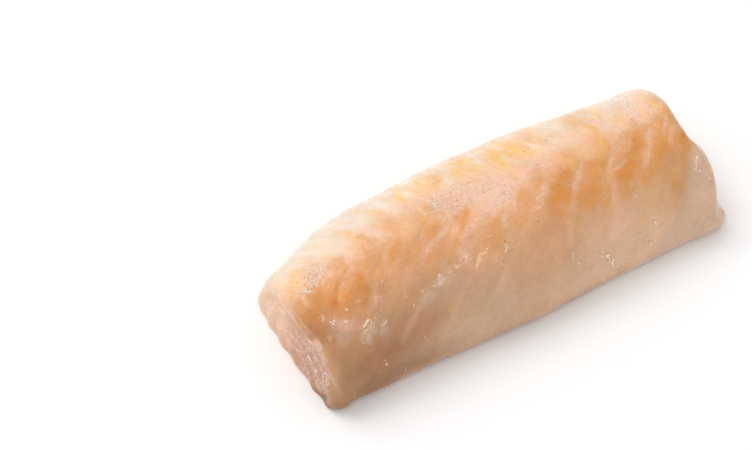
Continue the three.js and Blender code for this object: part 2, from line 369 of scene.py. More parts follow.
# %% [markdown]
# ## The skin of the mesh
#
# Now the rings are stacked: shrinking rings fill the left cut, sections run along the body, and
# shrinking rings fill the right cut. A point in the middle of each cut closes it. The whole surface
# is one grid, so its faces come from one rule, and every value that the material needs later, such
# as the flake number, is worked out on the same grid.

# %% Stack the rings
STATIONS = 290
END_STATIONS = 9
CUT_RINGS = 30
CUT_HEART = (-1.0, 11.0)
FADE_AT_TABLE = (0.2, 5.0)
FADE_AT_ENDS = (-1.2, 2.4)


def station_shares():
    """Shares of the length: close together in the rounded ends, even in between."""
    rounding = END_ROUND / LENGTH
    first = rounding * (np.arange(END_STATIONS) / END_STATIONS) ** 1.5
    return np.concatenate([first, np.linspace(rounding, 1 - rounding, STATIONS), 1 - first[::-1]])


def push_out(y, z, by):
    """Moves each ring point by this much along the ring's outward normal, never below the table."""
    dy = np.roll(y, -1, axis=1) - np.roll(y, 1, axis=1)
    dz = np.roll(z, -1, axis=1) - np.roll(z, 1, axis=1)
    run = np.hypot(dy, dz) + 1e-9
    return y - dz / run * by, np.clip(z + dy / run * by, 0, None)


share = station_shares()
ring_y, ring_z, ring_g = section_rings(share)
ring_u = share[:, None] * LENGTH + 0 * ring_y
fade = ramp(FADE_AT_TABLE, ring_z) * ramp(FADE_AT_ENDS, np.minimum(share, 1 - share)[:, None] * LENGTH)
relief = flake_relief(ring_u, ring_g) + broad_relief(ring_u, ring_g) + fine_relief(ring_u, ring_g)
ring_y, ring_z = push_out(ring_y, ring_z, relief * fade)


def shrunk_rings(y, z, shares):
    """Rings of a cut: the end ring drawn towards the heart of the cut."""
    shares = np.asarray(shares)[:, None]
    return CUT_HEART[0] + (y - CUT_HEART[0]) * shares, CUT_HEART[1] + (z - CUT_HEART[1]) * shares


inward = np.linspace(1, 0, CUT_RINGS + 1, endpoint=False)[1:]
left_y, left_z = shrunk_rings(ring_y[0], ring_z[0], inward[::-1])
right_y, right_z = shrunk_rings(ring_y[-1], ring_z[-1], inward)
grid_y = np.concatenate([left_y, ring_y, right_y])
grid_z = np.concatenate([left_z, ring_z, right_z])
grid_t = np.concatenate([np.zeros(CUT_RINGS), share, np.ones(CUT_RINGS)])[:, None] + 0 * grid_y
grid_g = np.concatenate([ring_g[:1].repeat(CUT_RINGS, 0), ring_g, ring_g[-1:].repeat(CUT_RINGS, 0)])

# Distance from the rim of the nearer cut: positive along the side, negative inside the cut.
rim_left = np.hypot(ring_y[0] - CUT_HEART[0], ring_z[0] - CUT_HEART[1])
rim_right = np.hypot(ring_y[-1] - CUT_HEART[0], ring_z[-1] - CUT_HEART[1])
grid_rim = np.concatenate([
    -(1 - inward[::-1, None]) * rim_left,
    np.minimum(share, 1 - share)[:, None] * LENGTH + 0 * ring_y,
    -(1 - inward[:, None]) * rim_right,
])
print("grid:", grid_y.shape, "points", grid_y.size)


# %% Stretch it between the cuts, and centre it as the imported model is
def stretched(t, y, z):
    """x = left cut + (right cut - left cut) t."""
    left = left_cut(y, z)
    return left + (right_cut(y, z) - left) * t


def placed(t, y, z, rim):
    """The stretched x, dented by the crinkles. At the left they reach a short way past the rim;
    at the right they start inside it."""
    above_table = ramp((0.0, 2.0), z)
    at_left = above_table * np.exp(-np.clip(rim, 0, None) / CRINKLE["reach"])
    at_right = above_table * ramp((0, CRINKLE["reach"]), -rim)
    return stretched(t, y, z) + np.where(t < 0.5, at_left * crinkle(y, z, 21), -at_right * crinkle(y, z, 31))


grid_x = placed(grid_t, grid_y, grid_z, grid_rim)
hearts = [placed(np.array(t), *np.array(CUT_HEART), np.array(-10.0)) for t in (0.0, 1.0)]
points = np.stack([grid_x, grid_y, grid_z], axis=-1).reshape(-1, 3)
points = np.concatenate([points, [(hearts[0], *CUT_HEART), (hearts[1], *CUT_HEART)]])

low, high = (np.array(corner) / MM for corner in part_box("loin"))
smooth_x = stretched(grid_t, grid_y, grid_z)
middle_x = (smooth_x.min() + smooth_x.max()) / 2
middle_y = (grid_y.min() + grid_y.max()) / 2
SHIFT = np.array([(low[0] + high[0]) / 2 - middle_x, (low[1] + high[1]) / 2 - middle_y, 0.0])
points = np.clip(points + SHIFT, low, high)
print("fine surface (mm):", np.round(points.min(axis=0), 2), np.round(points.max(axis=0), 2))
print("shifted by (mm):", np.round(SHIFT, 3))


# %% [markdown]
# ## Where the colours lie
#
# This loin is cream on the crest, orange along the ridge, tan and see-through down the thick side,
# peach where it was cut, and frosty with tiny dark dots in places, which are taken to be leftovers
# of the silvery film. Most of these are laid on by long soft blots: a blot has a place, a
# direction, two half sizes and a strength, and its edge is pushed about by noise. The blots are
# listed one by one, since they make this loin this one. The far side is a guess: there the flakes
# themselves say where the yellow and the pale lines go.

# %% Blots
# Each row: distance along, girth, angle (0 along the loin, 90 up over the ridge), half length,
# half width (mm), strength.
ORANGE_BLOTS = [
    (4, 5, 0, 5, 4, 0.65),
    (9, 4, 60, 4.5, 3, 0.9),
    (9.5, 7.5, 30, 3, 2.2, 0.8),
    (13.5, 6, 30, 4.5, 2.6, 0.95),
    (12.2, 1.8, 65, 4.4, 2.2, 0.85),
    (15.8, -1, 100, 4.6, 2, 0.6),
    (19, 5, 75, 4.5, 2.4, 0.85),
    (16.5, 10, 10, 5, 1.6, 0.4),
    (23, 1, 100, 3.5, 2, 0.45),
    (26, 4.5, 60, 4, 2.2, 0.6),
    (26.3, -3, 100, 3, 1.4, 0.45),
    (31.5, 3.5, 30, 4, 2.6, 0.65),
    (34.5, -1.5, 60, 4, 2.6, 0.25),
    (36.5, 7, 15, 6, 3, 0.4),
    (45.8, 1.5, 75, 4.2, 3.2, 0.75),
    (47.6, -2.4, 80, 3.4, 1.6, 0.8),
    (42, 10.5, 20, 6, 2, 0.5),
    (50, 9, 20, 5, 2, 0.45),
    (55.8, 3.6, 45, 3.8, 1.9, 0.85),
    (52.5, 7, 25, 3.5, 1.2, 0.5),
    (62.5, 9, 25, 5, 2.2, 0.5),
    (59, 13, 15, 8, 2.6, 0.45),
    (68, 11, 25, 5, 3, 0.35),
    (74.5, 5, 45, 5, 3, 0.4),
    (82, 0.5, 45, 3.4, 2.4, 0.5),
    (84.8, 7.2, 38, 6.4, 3.2, 0.92),
    (90, 3.6, 40, 4.6, 2.2, 0.8),
    (94.5, -1, 75, 3.8, 2.8, 0.55),
    (92.8, 11.2, 22, 6, 3.6, 0.7),
    (97.8, 6.4, 35, 4, 2.2, 0.62),
    (102.5, 3.6, 30, 4, 2.2, 0.8),
    (106.2, -0.5, 80, 4, 2.6, 0.45),
    (107, -6.5, 95, 4, 1.4, 0.45),
    (108.5, 9.4, 33, 6.5, 2.5, 0.92),
    (115.5, 5, 40, 6, 2.3, 0.9),
    (118.2, 0.4, 70, 3.2, 2.2, 0.5),
    (112.5, 13.5, 25, 5, 2.4, 0.45),
    (122, 9, 34, 6.5, 2.4, 0.75),
    (126.5, 3.5, 50, 5, 1.8, 0.6),
    (130.5, 1, 80, 4, 1.6, 0.6),
    (129.5, 10.5, 42, 6, 3, 1.00),
    (133.5, 6, 60, 4.5, 2.4, 0.95),
    (118.6, 20.8, 0, 1.5, 1.1, 0.5),
    (115.8, 12.8, 0, 1, 0.9, 0.6),
]
YELLOW_BLOTS = [
    (5.2, -7.5, 80, 5.5, 2.4, 0.85),
    (3.5, -3, 80, 3, 1.6, 0.8),
    (15.5, -6.5, 100, 3.5, 1.6, 0.4),
    (24, -9.5, 105, 5, 1.6, 0.6),
    (34.5, -11, 100, 4.5, 2, 0.45),
    (44.6, -13, 82, 5, 2, 0.7),
    (52.8, -16, 80, 5.5, 2.6, 1.00),
    (57.2, -11, 65, 4, 1.4, 0.7),
    (65.5, -16, 75, 5.5, 2.8, 1.00),
    (68, -10, 60, 4, 1.4, 0.5),
    (77.5, -13, 80, 7, 3.8, 0.95),
    (83.5, -13, 100, 5, 2.6, 0.85),
    (96.5, -9, 120, 4, 1.6, 0.35),
    (87, -9.5, 20, 6, 2, 0.45),
    (46.6, -1, 75, 4, 2.6, 0.5),
    (94, 0, 70, 3.6, 2.6, 0.5),
    (105.5, 0, 75, 3, 2, 0.45),
    (103.5, -13, 95, 8, 2.2, 0.6),
    (106.5, -6, 95, 4, 1.8, 0.7),
    (112, -14, 80, 6, 1.6, 0.55),
    (116.3, -4.5, 80, 3.5, 2, 0.65),
    (124, -3.5, 60, 3, 1.2, 0.4),
    (130, -4, 90, 5, 1.8, 0.6),
]
PALE_BLOTS = [
    (12.8, -1.5, 110, 3.4, 1.2, 0.6),
    (19.6, -1.5, 80, 4.5, 1.2, 0.6),
    (29.5, -5.5, 110, 5, 1.4, 0.5),
    (32, -1, 20, 3.5, 1.4, 0.4),
    (42, 8.2, 22, 3.5, 1, 0.65),
    (47.3, 6, 26, 3.6, 0.8, 0.65),
    (53.8, 8.2, 30, 2.2, 0.8, 0.7),
    (57.5, 6.8, 42, 2.4, 0.6, 0.9),
    (62.6, 5.2, 6, 4.6, 0.4, 0.75),
    (65.2, 9.4, 48, 2.4, 0.8, 0.9),
    (49.2, 14, 75, 3.5, 1.6, 0.65),
    (52, 10, 80, 3, 1.2, 0.45),
    (70.8, 0, 85, 6, 1, 0.6),
    (71, 5.5, 60, 2.2, 0.9, 0.6),
    (82, 4.2, 50, 4.5, 0.9, 0.7),
    (78.8, 6.8, 50, 1.8, 1, 0.8),
    (93, 5.6, 40, 6.6, 0.7, 0.75),
    (85.5, 12, 50, 3.6, 1, 0.2),
    (81.5, 18, 60, 4.5, 1.4, 0.35),
    (75.6, 9, 10, 2, 0.8, 0.4),
    (107.5, 3.5, 42, 6, 0.9, 0.55),
    (107, 7.6, 15, 3.6, 0.6, 0.55),
    (117, 8.2, 38, 6, 0.8, 0.55),
    (121, 4.4, 48, 3.2, 0.8, 0.7),
    (127.6, 3.6, 52, 3.4, 0.7, 0.7),
    (127, 8, 42, 4.5, 0.8, 0.4),
    (129, 17, 55, 2.6, 1.2, 0.7),
    (25, 24, 35, 4.5, 1.2, 0.35),
    (8.5, 13.5, -40, 4.5, 1.3, 0.6),
    (20.5, 11, 50, 3, 0.8, 0.3),
    (95, 24, 20, 5, 1.6, 0.3),
    (41, 25, 42, 7, 1.1, 0.18),
    (54, 26, 42, 7, 1.1, 0.18),
    (99, 15, 60, 7, 1.2, 0.25),
    (70, 20, 42, 6, 1.1, 0.12),
]
FILM_BLOTS = [
    (58, -4, 10, 12, 5.5, 1.00),
    (69, -2, 70, 8, 4, 0.9),
    (8, -4, 20, 5, 3.2, 1.00),
    (5, -0.4, 0, 3.2, 1.2, 0.9),
    (45, -8, 20, 5, 3, 0.7),
    (30, -7, 20, 4, 4, 0.45),
    (84, -6, 0, 8, 6, 0.4),
    (101, -5, 0, 8, 4, 0.25),
    (112, -8, 0, 8, 6, 0.18),
    (124, -5, 40, 6, 4, 0.25),
    (40, -27, 0, 18, 6, 0.6),
    (98, -30, 0, 16, 5, 0.6),
]
# Dark marks: how thick the tiny dark dots lie.
MARK_BLOTS = [
    (8, -3, 20, 6, 4, 0.9),
    (27.2, 4, 75, 5.5, 1.3, 1.00),
    (13.8, 17, 30, 2.6, 1, 0.8),
    (24, 10, 20, 3, 1, 0.6),
    (36, 16, 10, 7, 1.6, 0.35),
    (58, -4, 0, 12, 6, 0.45),
    (56.5, -13.5, 60, 5, 1.8, 1.00),
    (66.5, -14, 60, 5, 2.4, 1.00),
    (72, -5, 60, 9, 5, 0.45),
    (84, -10.5, 45, 4, 2.5, 0.8),
    (87, -1.5, 20, 4, 2, 0.45),
    (62, 13.5, 20, 6, 1.6, 0.3),
    (91, 6.8, 40, 6, 1, 0.5),
    (109, 11, 20, 8, 3, 0.25),
    (95, -24, 60, 30, 4, 0.25),
    (30, -30, 20, 20, 6, 0.3),
    (66, 2, 0, 60, 16, 0.07),
]
RED_BLOTS = [
    (9.2, 7.5, 30, 1.7, 1.1, 1.00),
    (17.5, 8, 10, 3, 1.2, 0.35),
    (20, 5, 60, 2, 0.8, 0.3),
    (88, 8.5, 30, 3, 0.8, 0.3),
    (107, 11.5, 20, 1.4, 0.5, 0.7),
    (131, 9, 50, 3, 1, 0.4),
]
# Silvery patches: leftovers of the film, and partly painted sheen where the wet surface shines softly.
SILVER_AND_SHEEN_BLOTS = [
    (50, -3.6, 70, 2.6, 1.5, 1.00),
    (14, 19.4, 30, 3.6, 2, 0.75),
    (18, 20.5, 60, 2.4, 1.6, 0.6),
    (33, 19.5, 20, 5, 1.8, 0.5),
    (39, 17.5, 10, 5, 1.6, 0.5),
    (7, 16, 20, 3, 2, 0.3),
    (72, -31, 20, 4, 1.8, 0.6),
]
WARP = 1.3


def blots(rows, u, g):
    """The strongest blot at each point: strength * exp(-r^3), where r is the distance from its
    middle, counted in half lengths and half widths along its own direction."""
    found = np.zeros_like(u)
    for at_u, at_g, angle, length, width, strength in rows:
        turn = np.radians(angle)
        forward = (u - at_u) * np.cos(turn) - (g - at_g) * np.sin(turn)
        sideways = (u - at_u) * np.sin(turn) + (g - at_g) * np.cos(turn)
        found = np.maximum(found, strength * np.exp(-np.hypot(forward / length, sideways / width) ** 3))
    return found


RULER_START = 0.9  # the marks were placed with a ruler that starts this far inside the left end
grid_u = grid_t * LENGTH
ruler_u = grid_u - RULER_START
flake = flake_number(grid_u, grid_g)
skin = (grid_u, grid_g, 0 * grid_u)
raggeds = [noise(skin, 3.2, seed) + 0.6 * noise(skin, 1.3, seed + 1) for seed in (41, 43)]
warped = (ruler_u + WARP * raggeds[0], grid_g + WARP * raggeds[1])
thin_warp = (ruler_u + 0.35 * raggeds[0], grid_g + 0.35 * raggeds[1])
is_sole = np.arange(grid_y.shape[1])[None] >= DOME_POINTS + 2 * TUCK_POINTS
outer = np.where(is_sole & (grid_rim > 0), 0.0, 1.0)
ALL_BLOTS = (ORANGE_BLOTS, YELLOW_BLOTS, PALE_BLOTS, FILM_BLOTS, MARK_BLOTS, RED_BLOTS, SILVER_AND_SHEEN_BLOTS)
print("blots:", sum(map(len, ALL_BLOTS)))


# %% Masks
# Teeth of the far side: one soft yellow tooth in each flake, stronger in some.
FAR_TEETH = {"girth": -27, "height": 8, "width": 0.24, "strength": 0.34}
in_flake = flake - np.floor(flake) - 0.5 + 0.05 * raggeds[0]
picked = 0.5 + 0.5 * np.sin(2.6 * np.floor(flake) + 1)
far_teeth = FAR_TEETH["strength"] * picked * bump(in_flake, FAR_TEETH["width"])
far_teeth = far_teeth * bump(grid_g - FAR_TEETH["girth"] + 3 * raggeds[1], FAR_TEETH["height"])

# Where the colour of the left cut ends, by girth: above zero it reaches over the edge on to the
# side, below zero the side's colour wraps on to the cut. The right cut ends in the rounding.
LEFT_EDGE = {
    "girth": [-30, -8, -2, 4, 9, 13, 18, 24, 30, 38],
    "reach": [0.6, 0.8, -1.6, -2.6, -1.8, 0.8, 0.8, -1.2, -3.6, -3.4],
}
RIGHT_EDGE = -0.2
SOFT_EDGE = {"girth": (-4, 0), "far": 3.2, "near": 0.8}
cut_edge = np.where(grid_t < 0.5, np.interp(grid_g, LEFT_EDGE["girth"], LEFT_EDGE["reach"]), RIGHT_EDGE)
cut_edge = cut_edge + 1.1 * raggeds[0]
softness = SOFT_EDGE["far"] + (SOFT_EDGE["near"] - SOFT_EDGE["far"]) * ramp(SOFT_EDGE["girth"], grid_g)
inside_by = (cut_edge - grid_rim) / softness
cut = ramp((-1, 1), inside_by) * outer
side = outer - cut
TORN = {"length": 9, "height": 10, "right": 0.55}  # the right cut is torn less than the left one
torn = bump(grid_y - WET_EDGE["y"], TORN["length"]) * bump(grid_z - WET_EDGE["z"], TORN["height"])
torn = torn * np.where(grid_t < 0.5, 1, TORN["right"])
masks = {
    "flake": flake,
    "girth": grid_g,
    "side": side,
    "cut": cut,
    "orange": blots(ORANGE_BLOTS, *warped) * side,
    "yellow": np.maximum(blots(YELLOW_BLOTS, *warped), far_teeth) * side,
    "red": blots(RED_BLOTS, *thin_warp) * side,
    "pale": blots(PALE_BLOTS, *thin_warp) * side,
    "film": blots(FILM_BLOTS, *warped) * side,
    "marks": blots(MARK_BLOTS, *thin_warp) * side,
    "silver": blots(SILVER_AND_SHEEN_BLOTS, *thin_warp) * side,
    "torn": torn,
}
print("masks:", {name: round(float(v.mean()), 3) for name, v in masks.items()})


# %% [markdown]
# ## The ground colour
#
# Under all the patches lies one slow colour field. It runs across the girth from cream through tan,
# and along the thick near side it changes from deep brown at the left to rosy beige at the right.
# Part of it is painted light: the cream of the crest is partly painted highlight where the crest
# faces the lamp, and the tan down the near side and the deep brown low at the left are partly
# painted shade.
# It has no sharp edge anywhere, so it is worked out on the grid and stored as a colour of each
# point. The colours are written as they look on a screen, from 0 to 255, and turned into the linear
# values that Blender calculates with. They were adjusted together with the lamps, by comparing
# average colours of the render with those of the real loin, so they hold for this light.

# %% Colours of the ground
def screen(red, green, blue):
    """A screen colour as a linear one: ((c / 255 + 0.055) / 1.055) ^ 2.4 for all but the darkest."""
    linear = ((np.array([red, green, blue]) / 255 + 0.055) / 1.055) ** 2.4
    return (*linear.tolist(), 1.0)


ACROSS = {  # girth (mm): colour there, its cream partly painted highlight and its tan partly painted shade
    -46: (206, 166, 130),
    -36: (222, 182, 146),
    -24: (231, 202, 168),
    -16: (237, 204, 164),
    -10: (236, 194, 152),
    -4: (232, 181, 138),
    2: (224, 172, 126),
    9: (213, 162, 118),
    16: (204, 154, 112),
    26: (206, 163, 126),
    36: (208, 166, 132),
    44: (186, 142, 110),
}
# Blots as above, then a screen colour.
TINTS = [
    (10, 9, 10, 16, 6, 0.6, (204, 138, 80)),
    (8, -3.6, 20, 4.6, 3, 0.7, (246, 204, 182)),
    (86, 9, 30, 14, 6.5, 0.5, (212, 144, 84)),
    (112, 7, 25, 19, 8, 0.5, (219, 155, 90)),
    (77, -13, 5, 18, 7, 0.6, (242, 198, 140)),
    # The pale cream rows of the crest that follow are partly painted highlight, where the crest faces the
    # lamp.
    (20, -20, 0, 30, 8, 0.85, (228, 211, 195)),
    (6, -17, 60, 9, 6, 0.6, (228, 208, 184)),
    (18.5, -10.5, 100, 6.5, 3.6, 0.85, (236, 216, 198)),
    (30, -12, 20, 8, 4.5, 0.85, (234, 215, 196)),
    (39, -11, 80, 6, 3, 0.75, (234, 213, 192)),
    (49, -19, 80, 6, 2.6, 0.7, (230, 212, 192)),
    (60, -15, 80, 8, 2.6, 0.75, (237, 214, 194)),
    (71.5, -20, 80, 6, 3, 0.7, (233, 213, 199)),
    (84, -21, 80, 5, 3, 0.7, (236, 207, 189)),
    (88.5, -20.5, 85, 5.5, 2.4, 0.75, (240, 188, 146)),
    (97, -16, 80, 8, 5.5, 0.8, (229, 210, 190)),
    (101, -9, 60, 5, 3, 0.5, (242, 206, 180)),
    (120, -12, 20, 11, 5.5, 0.8, (237, 217, 201)),
    (117, -17, 80, 6, 3, 0.6, (228, 213, 198)),
    (78, -2, 20, 9, 3.4, 0.6, (240, 200, 168)),
    (118, -4.5, 5, 11, 4, 0.75, (242, 210, 186)),
    (97, -1.5, 0, 13, 2.6, 0.5, (240, 192, 148)),
    (66, 5, 15, 8, 5, 0.4, (236, 190, 160)),
    (118.5, 15, 45, 9, 5.5, 0.75, (202, 145, 88)),
    (38, -1, 10, 8, 3, 0.4, (240, 192, 140)),
    (68, -0.5, 10, 12, 4.5, 0.65, (240, 198, 172)),
    # Two more pale cream rows on the crest: partly painted highlight.
    (14, -8, 105, 6, 2.2, 0.7, (238, 214, 196)),
    (28, -7, 110, 6, 2.2, 0.7, (238, 210, 190)),
    (20.5, 9.5, 20, 7, 3, 0.55, (198, 140, 92)),
    (94, 11, 20, 7, 4, 0.5, (202, 143, 94)),
    (56.3, -13, 65, 5, 1.5, 0.65, (222, 170, 118)),
    (65.6, -15.5, 70, 5, 2.2, 0.6, (228, 180, 112)),
    (78.5, -20, 85, 7, 3.2, 0.8, (234, 190, 140)),
    (104, -17, 80, 7, 2.4, 0.6, (230, 186, 144)),
    (109, -18.5, 40, 9, 4.5, 0.9, (226, 180, 134)),
    # Deep brown rows low at the left of the near side: partly the flesh's own brown, partly painted shade.
    (12, 30, 20, 24, 10, 0.9, (160, 110, 66)),
    (12, 37, 0, 30, 5, 0.75, (136, 90, 50)),
    (2.5, 27, 80, 9, 3, 0.55, (166, 120, 72)),
    (5.5, 13.6, -20, 7, 3, 0.9, (184, 142, 111)),
    (9, 21, -10, 9, 3.5, 0.6, (184, 134, 88)),
    (21, 21.5, 20, 6, 3.6, 0.5, (192, 148, 112)),
    # Deep brown low at the left end, near the table: partly own colour, partly painted shade.
    (4.5, 35, 20, 6, 3, 0.6, (158, 104, 52)),
    (31.5, 24, 15, 8, 4, 0.5, (186, 136, 94)),
    (41, 21, 10, 8, 3, 0.45, (200, 162, 138)),
    (50, 33, 10, 15, 9, 0.65, (200, 168, 138)),
    (66, 38, 0, 8, 4, 0.4, (206, 160, 118)),
    (67, 22, 30, 10, 8, 0.55, (214, 164, 120)),
    (88, 18, 10, 9, 3, 0.45, (208, 168, 124)),
    (92, 29, 20, 18, 9, 0.75, (222, 182, 150)),
    (110, 24, 40, 9, 6.5, 0.6, (224, 180, 132)),
    (121, 19, 50, 9, 4, 0.6, (202, 150, 98)),
    (129, 30, 60, 12, 6, 0.6, (208, 176, 146)),
    (133, 18, 90, 16, 2.6, 0.75, (184, 148, 116)),
    (132.5, 0, 90, 10, 2.4, 0.6, (196, 148, 100)),
    (2, 11, 85, 8, 3.4, 0.85, (180, 122, 74)),
    (15, 10, 10, 6, 3, 0.55, (196, 136, 78)),
    (108, 33, 20, 10, 7, 0.65, (230, 188, 152)),
    (28.5, 4.5, 20, 5.5, 3, 0.35, (234, 188, 148)),
    (60, 13, 10, 11, 5.5, 0.5, (226, 178, 134)),
]
SECOND_LAYER = (210, 176, 148)
# Painted shade: a darker, more orange tone along the crease between the two layers.
CREASE_SHADE = (212, 162, 112)
CUT_TOP = (235, 190, 156)
CUT_LOW = (206, 152, 124)
RING_LINE = {"width": 0.1, "strength": 0.22, "colour": (248, 216, 194)}
UNDERSIDE = (228, 192, 160)

steps = np.array(list(ACROSS), float)
stops = np.array([screen(*colour)[:3] for colour in ACROSS.values()])
drift = grid_g + 2.2 * noise(skin, 6.0, 61) + 1.0 * noise(skin, 2.4, 62)
ground = np.stack([np.interp(drift, steps, stops[:, c]) for c in range(3)], axis=-1)


def lay(mask, colour):
    """The ground with this colour mixed in by the mask."""
    return ground + (np.array(screen(*colour)[:3]) - ground) * mask[..., None]


for *blot, colour in TINTS:
    ground = lay(blots([blot], *warped), colour)
layer = past_crease(grid_u, grid_g)
ground = lay(0.8 * layer, SECOND_LAYER)
# Painted shade in the crease, strongest halfway into the second layer.
ground = lay(0.35 * layer * (1 - layer), CREASE_SHADE)
ground = lay(cut, CUT_TOP)
low_cut = ramp((25, 13), grid_z) * ramp((12, -6), grid_y)
ground = lay(cut * low_cut, CUT_LOW)


def ring_lines(rings, y, z):
    """Thin lines where the rings of a cut dip: a bell round every whole turn of the wave."""
    radius = np.hypot(y - rings["y"], CUT_FLAKE_SQUASH * (z - rings["z"]))
    turns = radius / rings["wave"] + rings["phase"] / (2 * np.pi) + 0.25
    return bump(turns - np.round(turns), RING_LINE["width"])


wander = noise((grid_y, grid_z, 9 * grid_t), 2.2, 71)
lines = [ring_lines(rings, grid_y + wander, grid_z + 0.5 * wander) for rings in (LEFT_FLAKES, RIGHT_FLAKES)]
broken = ramp((-0.5, 0.4), noise((grid_y, grid_z, 9 * grid_t), 3.0, 72))
ground = lay(RING_LINE["strength"] * cut * broken * np.where(grid_t < 0.5, *lines), RING_LINE["colour"])
ground = lay(1 - outer, UNDERSIDE)
print("ground, mean linear colour:", np.round(ground.mean(axis=(0, 1)), 3))


# %% [markdown]
# ## From the grid to a mesh
#
# The grid closes round every ring and at the two hearts, so the surface has no open edge. Faces are
# listed by whole arrays: each square joins a point, the next ring's point and their neighbours.

# %% Mesh builder
def grid_faces(rings, count):
    """Squares between rings that close on themselves, as rows of four point numbers."""
    here = np.arange(rings - 1)[:, None] * count + np.arange(count)[None]
    over = np.arange(rings - 1)[:, None] * count + (np.arange(count)[None] + 1) % count
    return np.stack([here, here + count, over + count, over], axis=-1).reshape(-1, 4)


def new_mesh_object(name, places, squares, others):
    """A smooth mesh object at the origin, from squares and other faces; places are in metres."""
    faces = np.asarray(squares).tolist() + np.asarray(others).tolist()
    mesh = bpy.data.meshes.new(name)
    mesh.from_pydata(np.asarray(places).tolist(), [], faces)
    mesh.shade_smooth()
    mesh.validate()
    piece = bpy.data.objects.new(name, mesh)
    bpy.context.scene.collection.objects.link(piece)
    return piece


def set_attribute(piece, name, values):
    """Stores one number for each point."""
    attribute = piece.data.attributes.new(name, "FLOAT", "POINT")
    attribute.data.foreach_set("value", np.ascontiguousarray(values, np.float32))


RINGS, COUNT = grid_y.shape
j = np.arange(COUNT)
last = (RINGS - 1) * COUNT
left_fan = np.stack([np.full(COUNT, points.shape[0] - 2), j, (j + 1) % COUNT], axis=-1)
right_fan = np.stack([np.full(COUNT, points.shape[0] - 1), last + (j + 1) % COUNT, last + j], axis=-1)
fans = np.concatenate([left_fan, right_fan])
loin = new_mesh_object("loin_flesh", points * MM, grid_faces(RINGS, COUNT), fans)
for name, values in masks.items():
    set_attribute(loin, name, np.concatenate([values.reshape(-1), values[[0, -1]].mean(axis=1)]))
ground_colours = loin.data.attributes.new("ground", "FLOAT_COLOR", "POINT")
painted = np.concatenate([ground.reshape(-1, 3), ground[[0, -1]].mean(axis=1)])
painted = np.concatenate([painted, np.ones((len(painted), 1))], axis=1)
ground_colours.data.foreach_set("color", painted.astype(np.float32).reshape(-1))
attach(loin, "root")
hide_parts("loin")
print("loin_flesh:", len(loin.data.polygons), "faces")


# %% [markdown]
# ## Pale shreds
#
# The small pale bits on this loin are taken to be shreds of the thin sheets between the flakes,
# torn by skinning: long ones in the seams near the ridge, short upright ones low on the near side,
# and a crumbly crop of them on the torn corner and on the cuts. They are small, but they catch the
# light, and the eye reads "raw fish" from them. Their pale colour is partly real tissue and partly
# painted glint, since they stand where the wet glints are. Each is a flat closed ribbon that follows
# the finished skin. The ones that stand out are listed one by one, and seeded draws add the crumbs.

# %% Ribbons on the skin
SKIN = points[:-2].reshape(RINGS, COUNT, 3)[CUT_RINGS : CUT_RINGS + len(share)]
SKIN_COLUMNS = DOME_POINTS + 2 * TUCK_POINTS
SKIN_GIRTH = ring_g[:, :SKIN_COLUMNS]
SKIN_NORMAL = np.cross(np.gradient(SKIN, axis=0), -np.gradient(SKIN, axis=1))
SKIN_NORMAL /= -np.linalg.norm(SKIN_NORMAL, axis=2, keepdims=True) + 1e-9
STEPS = 7
SIDES = 4


def on_skin(u, g):
    """Points and outward normals of the skin at these distances on the ruler and girths, blended
    between the four grid points round each place."""
    station = np.interp(u + RULER_START, share * LENGTH, np.arange(len(share)))
    i = np.clip(station.astype(int), 0, len(share) - 2)
    f = (station - i)[..., None]
    j = np.clip((SKIN_GIRTH[i] > g[..., None]).sum(axis=-1) - 1, 0, SKIN_COLUMNS - 2)
    upper, lower = SKIN_GIRTH[i, j], SKIN_GIRTH[i, j + 1]
    h = np.clip((upper - g) / (upper - lower), 0, 1)[..., None]

    def blended(field):
        here = field[i, j] * (1 - h) + field[i, j + 1] * h
        after = field[i + 1, j] * (1 - h) + field[i + 1, j + 1] * h
        return here * (1 - f) + after * f

    normal = blended(SKIN_NORMAL)
    return blended(SKIN), normal / np.linalg.norm(normal, axis=-1, keepdims=True)


def on_cut(t, y, z):
    """Points and outward normals of the left cut (t = 0) or the right one (t = 1), well inside the
    rim. The normal is taken as straight out along X."""
    x = placed(np.full_like(y, t), y, z, np.full_like(y, -2 * CRINKLE["reach"]))
    return np.stack([x, y, z], axis=-1) + SHIFT, np.broadcast_to([2.0 * t - 1, 0.0, 0.0], (*y.shape, 3))


def stroke_paths(strokes, bend, squiggle):
    """Each row of strokes is (a, b, angle in degrees, length, width). The path runs through (a, b)
    at that angle, bends sideways by bend (4 s^2 - 1), and squiggles. Angle 0 is along a, 90 is
    against b. Returns the two coordinates, each as (stroke, step)."""
    a, b, angle, length, width = np.asarray(strokes, float).T[..., None]
    s = np.linspace(-0.5, 0.5, STEPS)[None]
    forward = length * s
    sideways = bend * length * (4 * s**2 - 1) + squiggle * width * np.sin(9 * s + a)
    turn = np.radians(angle)
    path_a = a + forward * np.cos(turn) + sideways * np.sin(turn)
    return path_a, b - forward * np.sin(turn) + sideways * np.cos(turn)


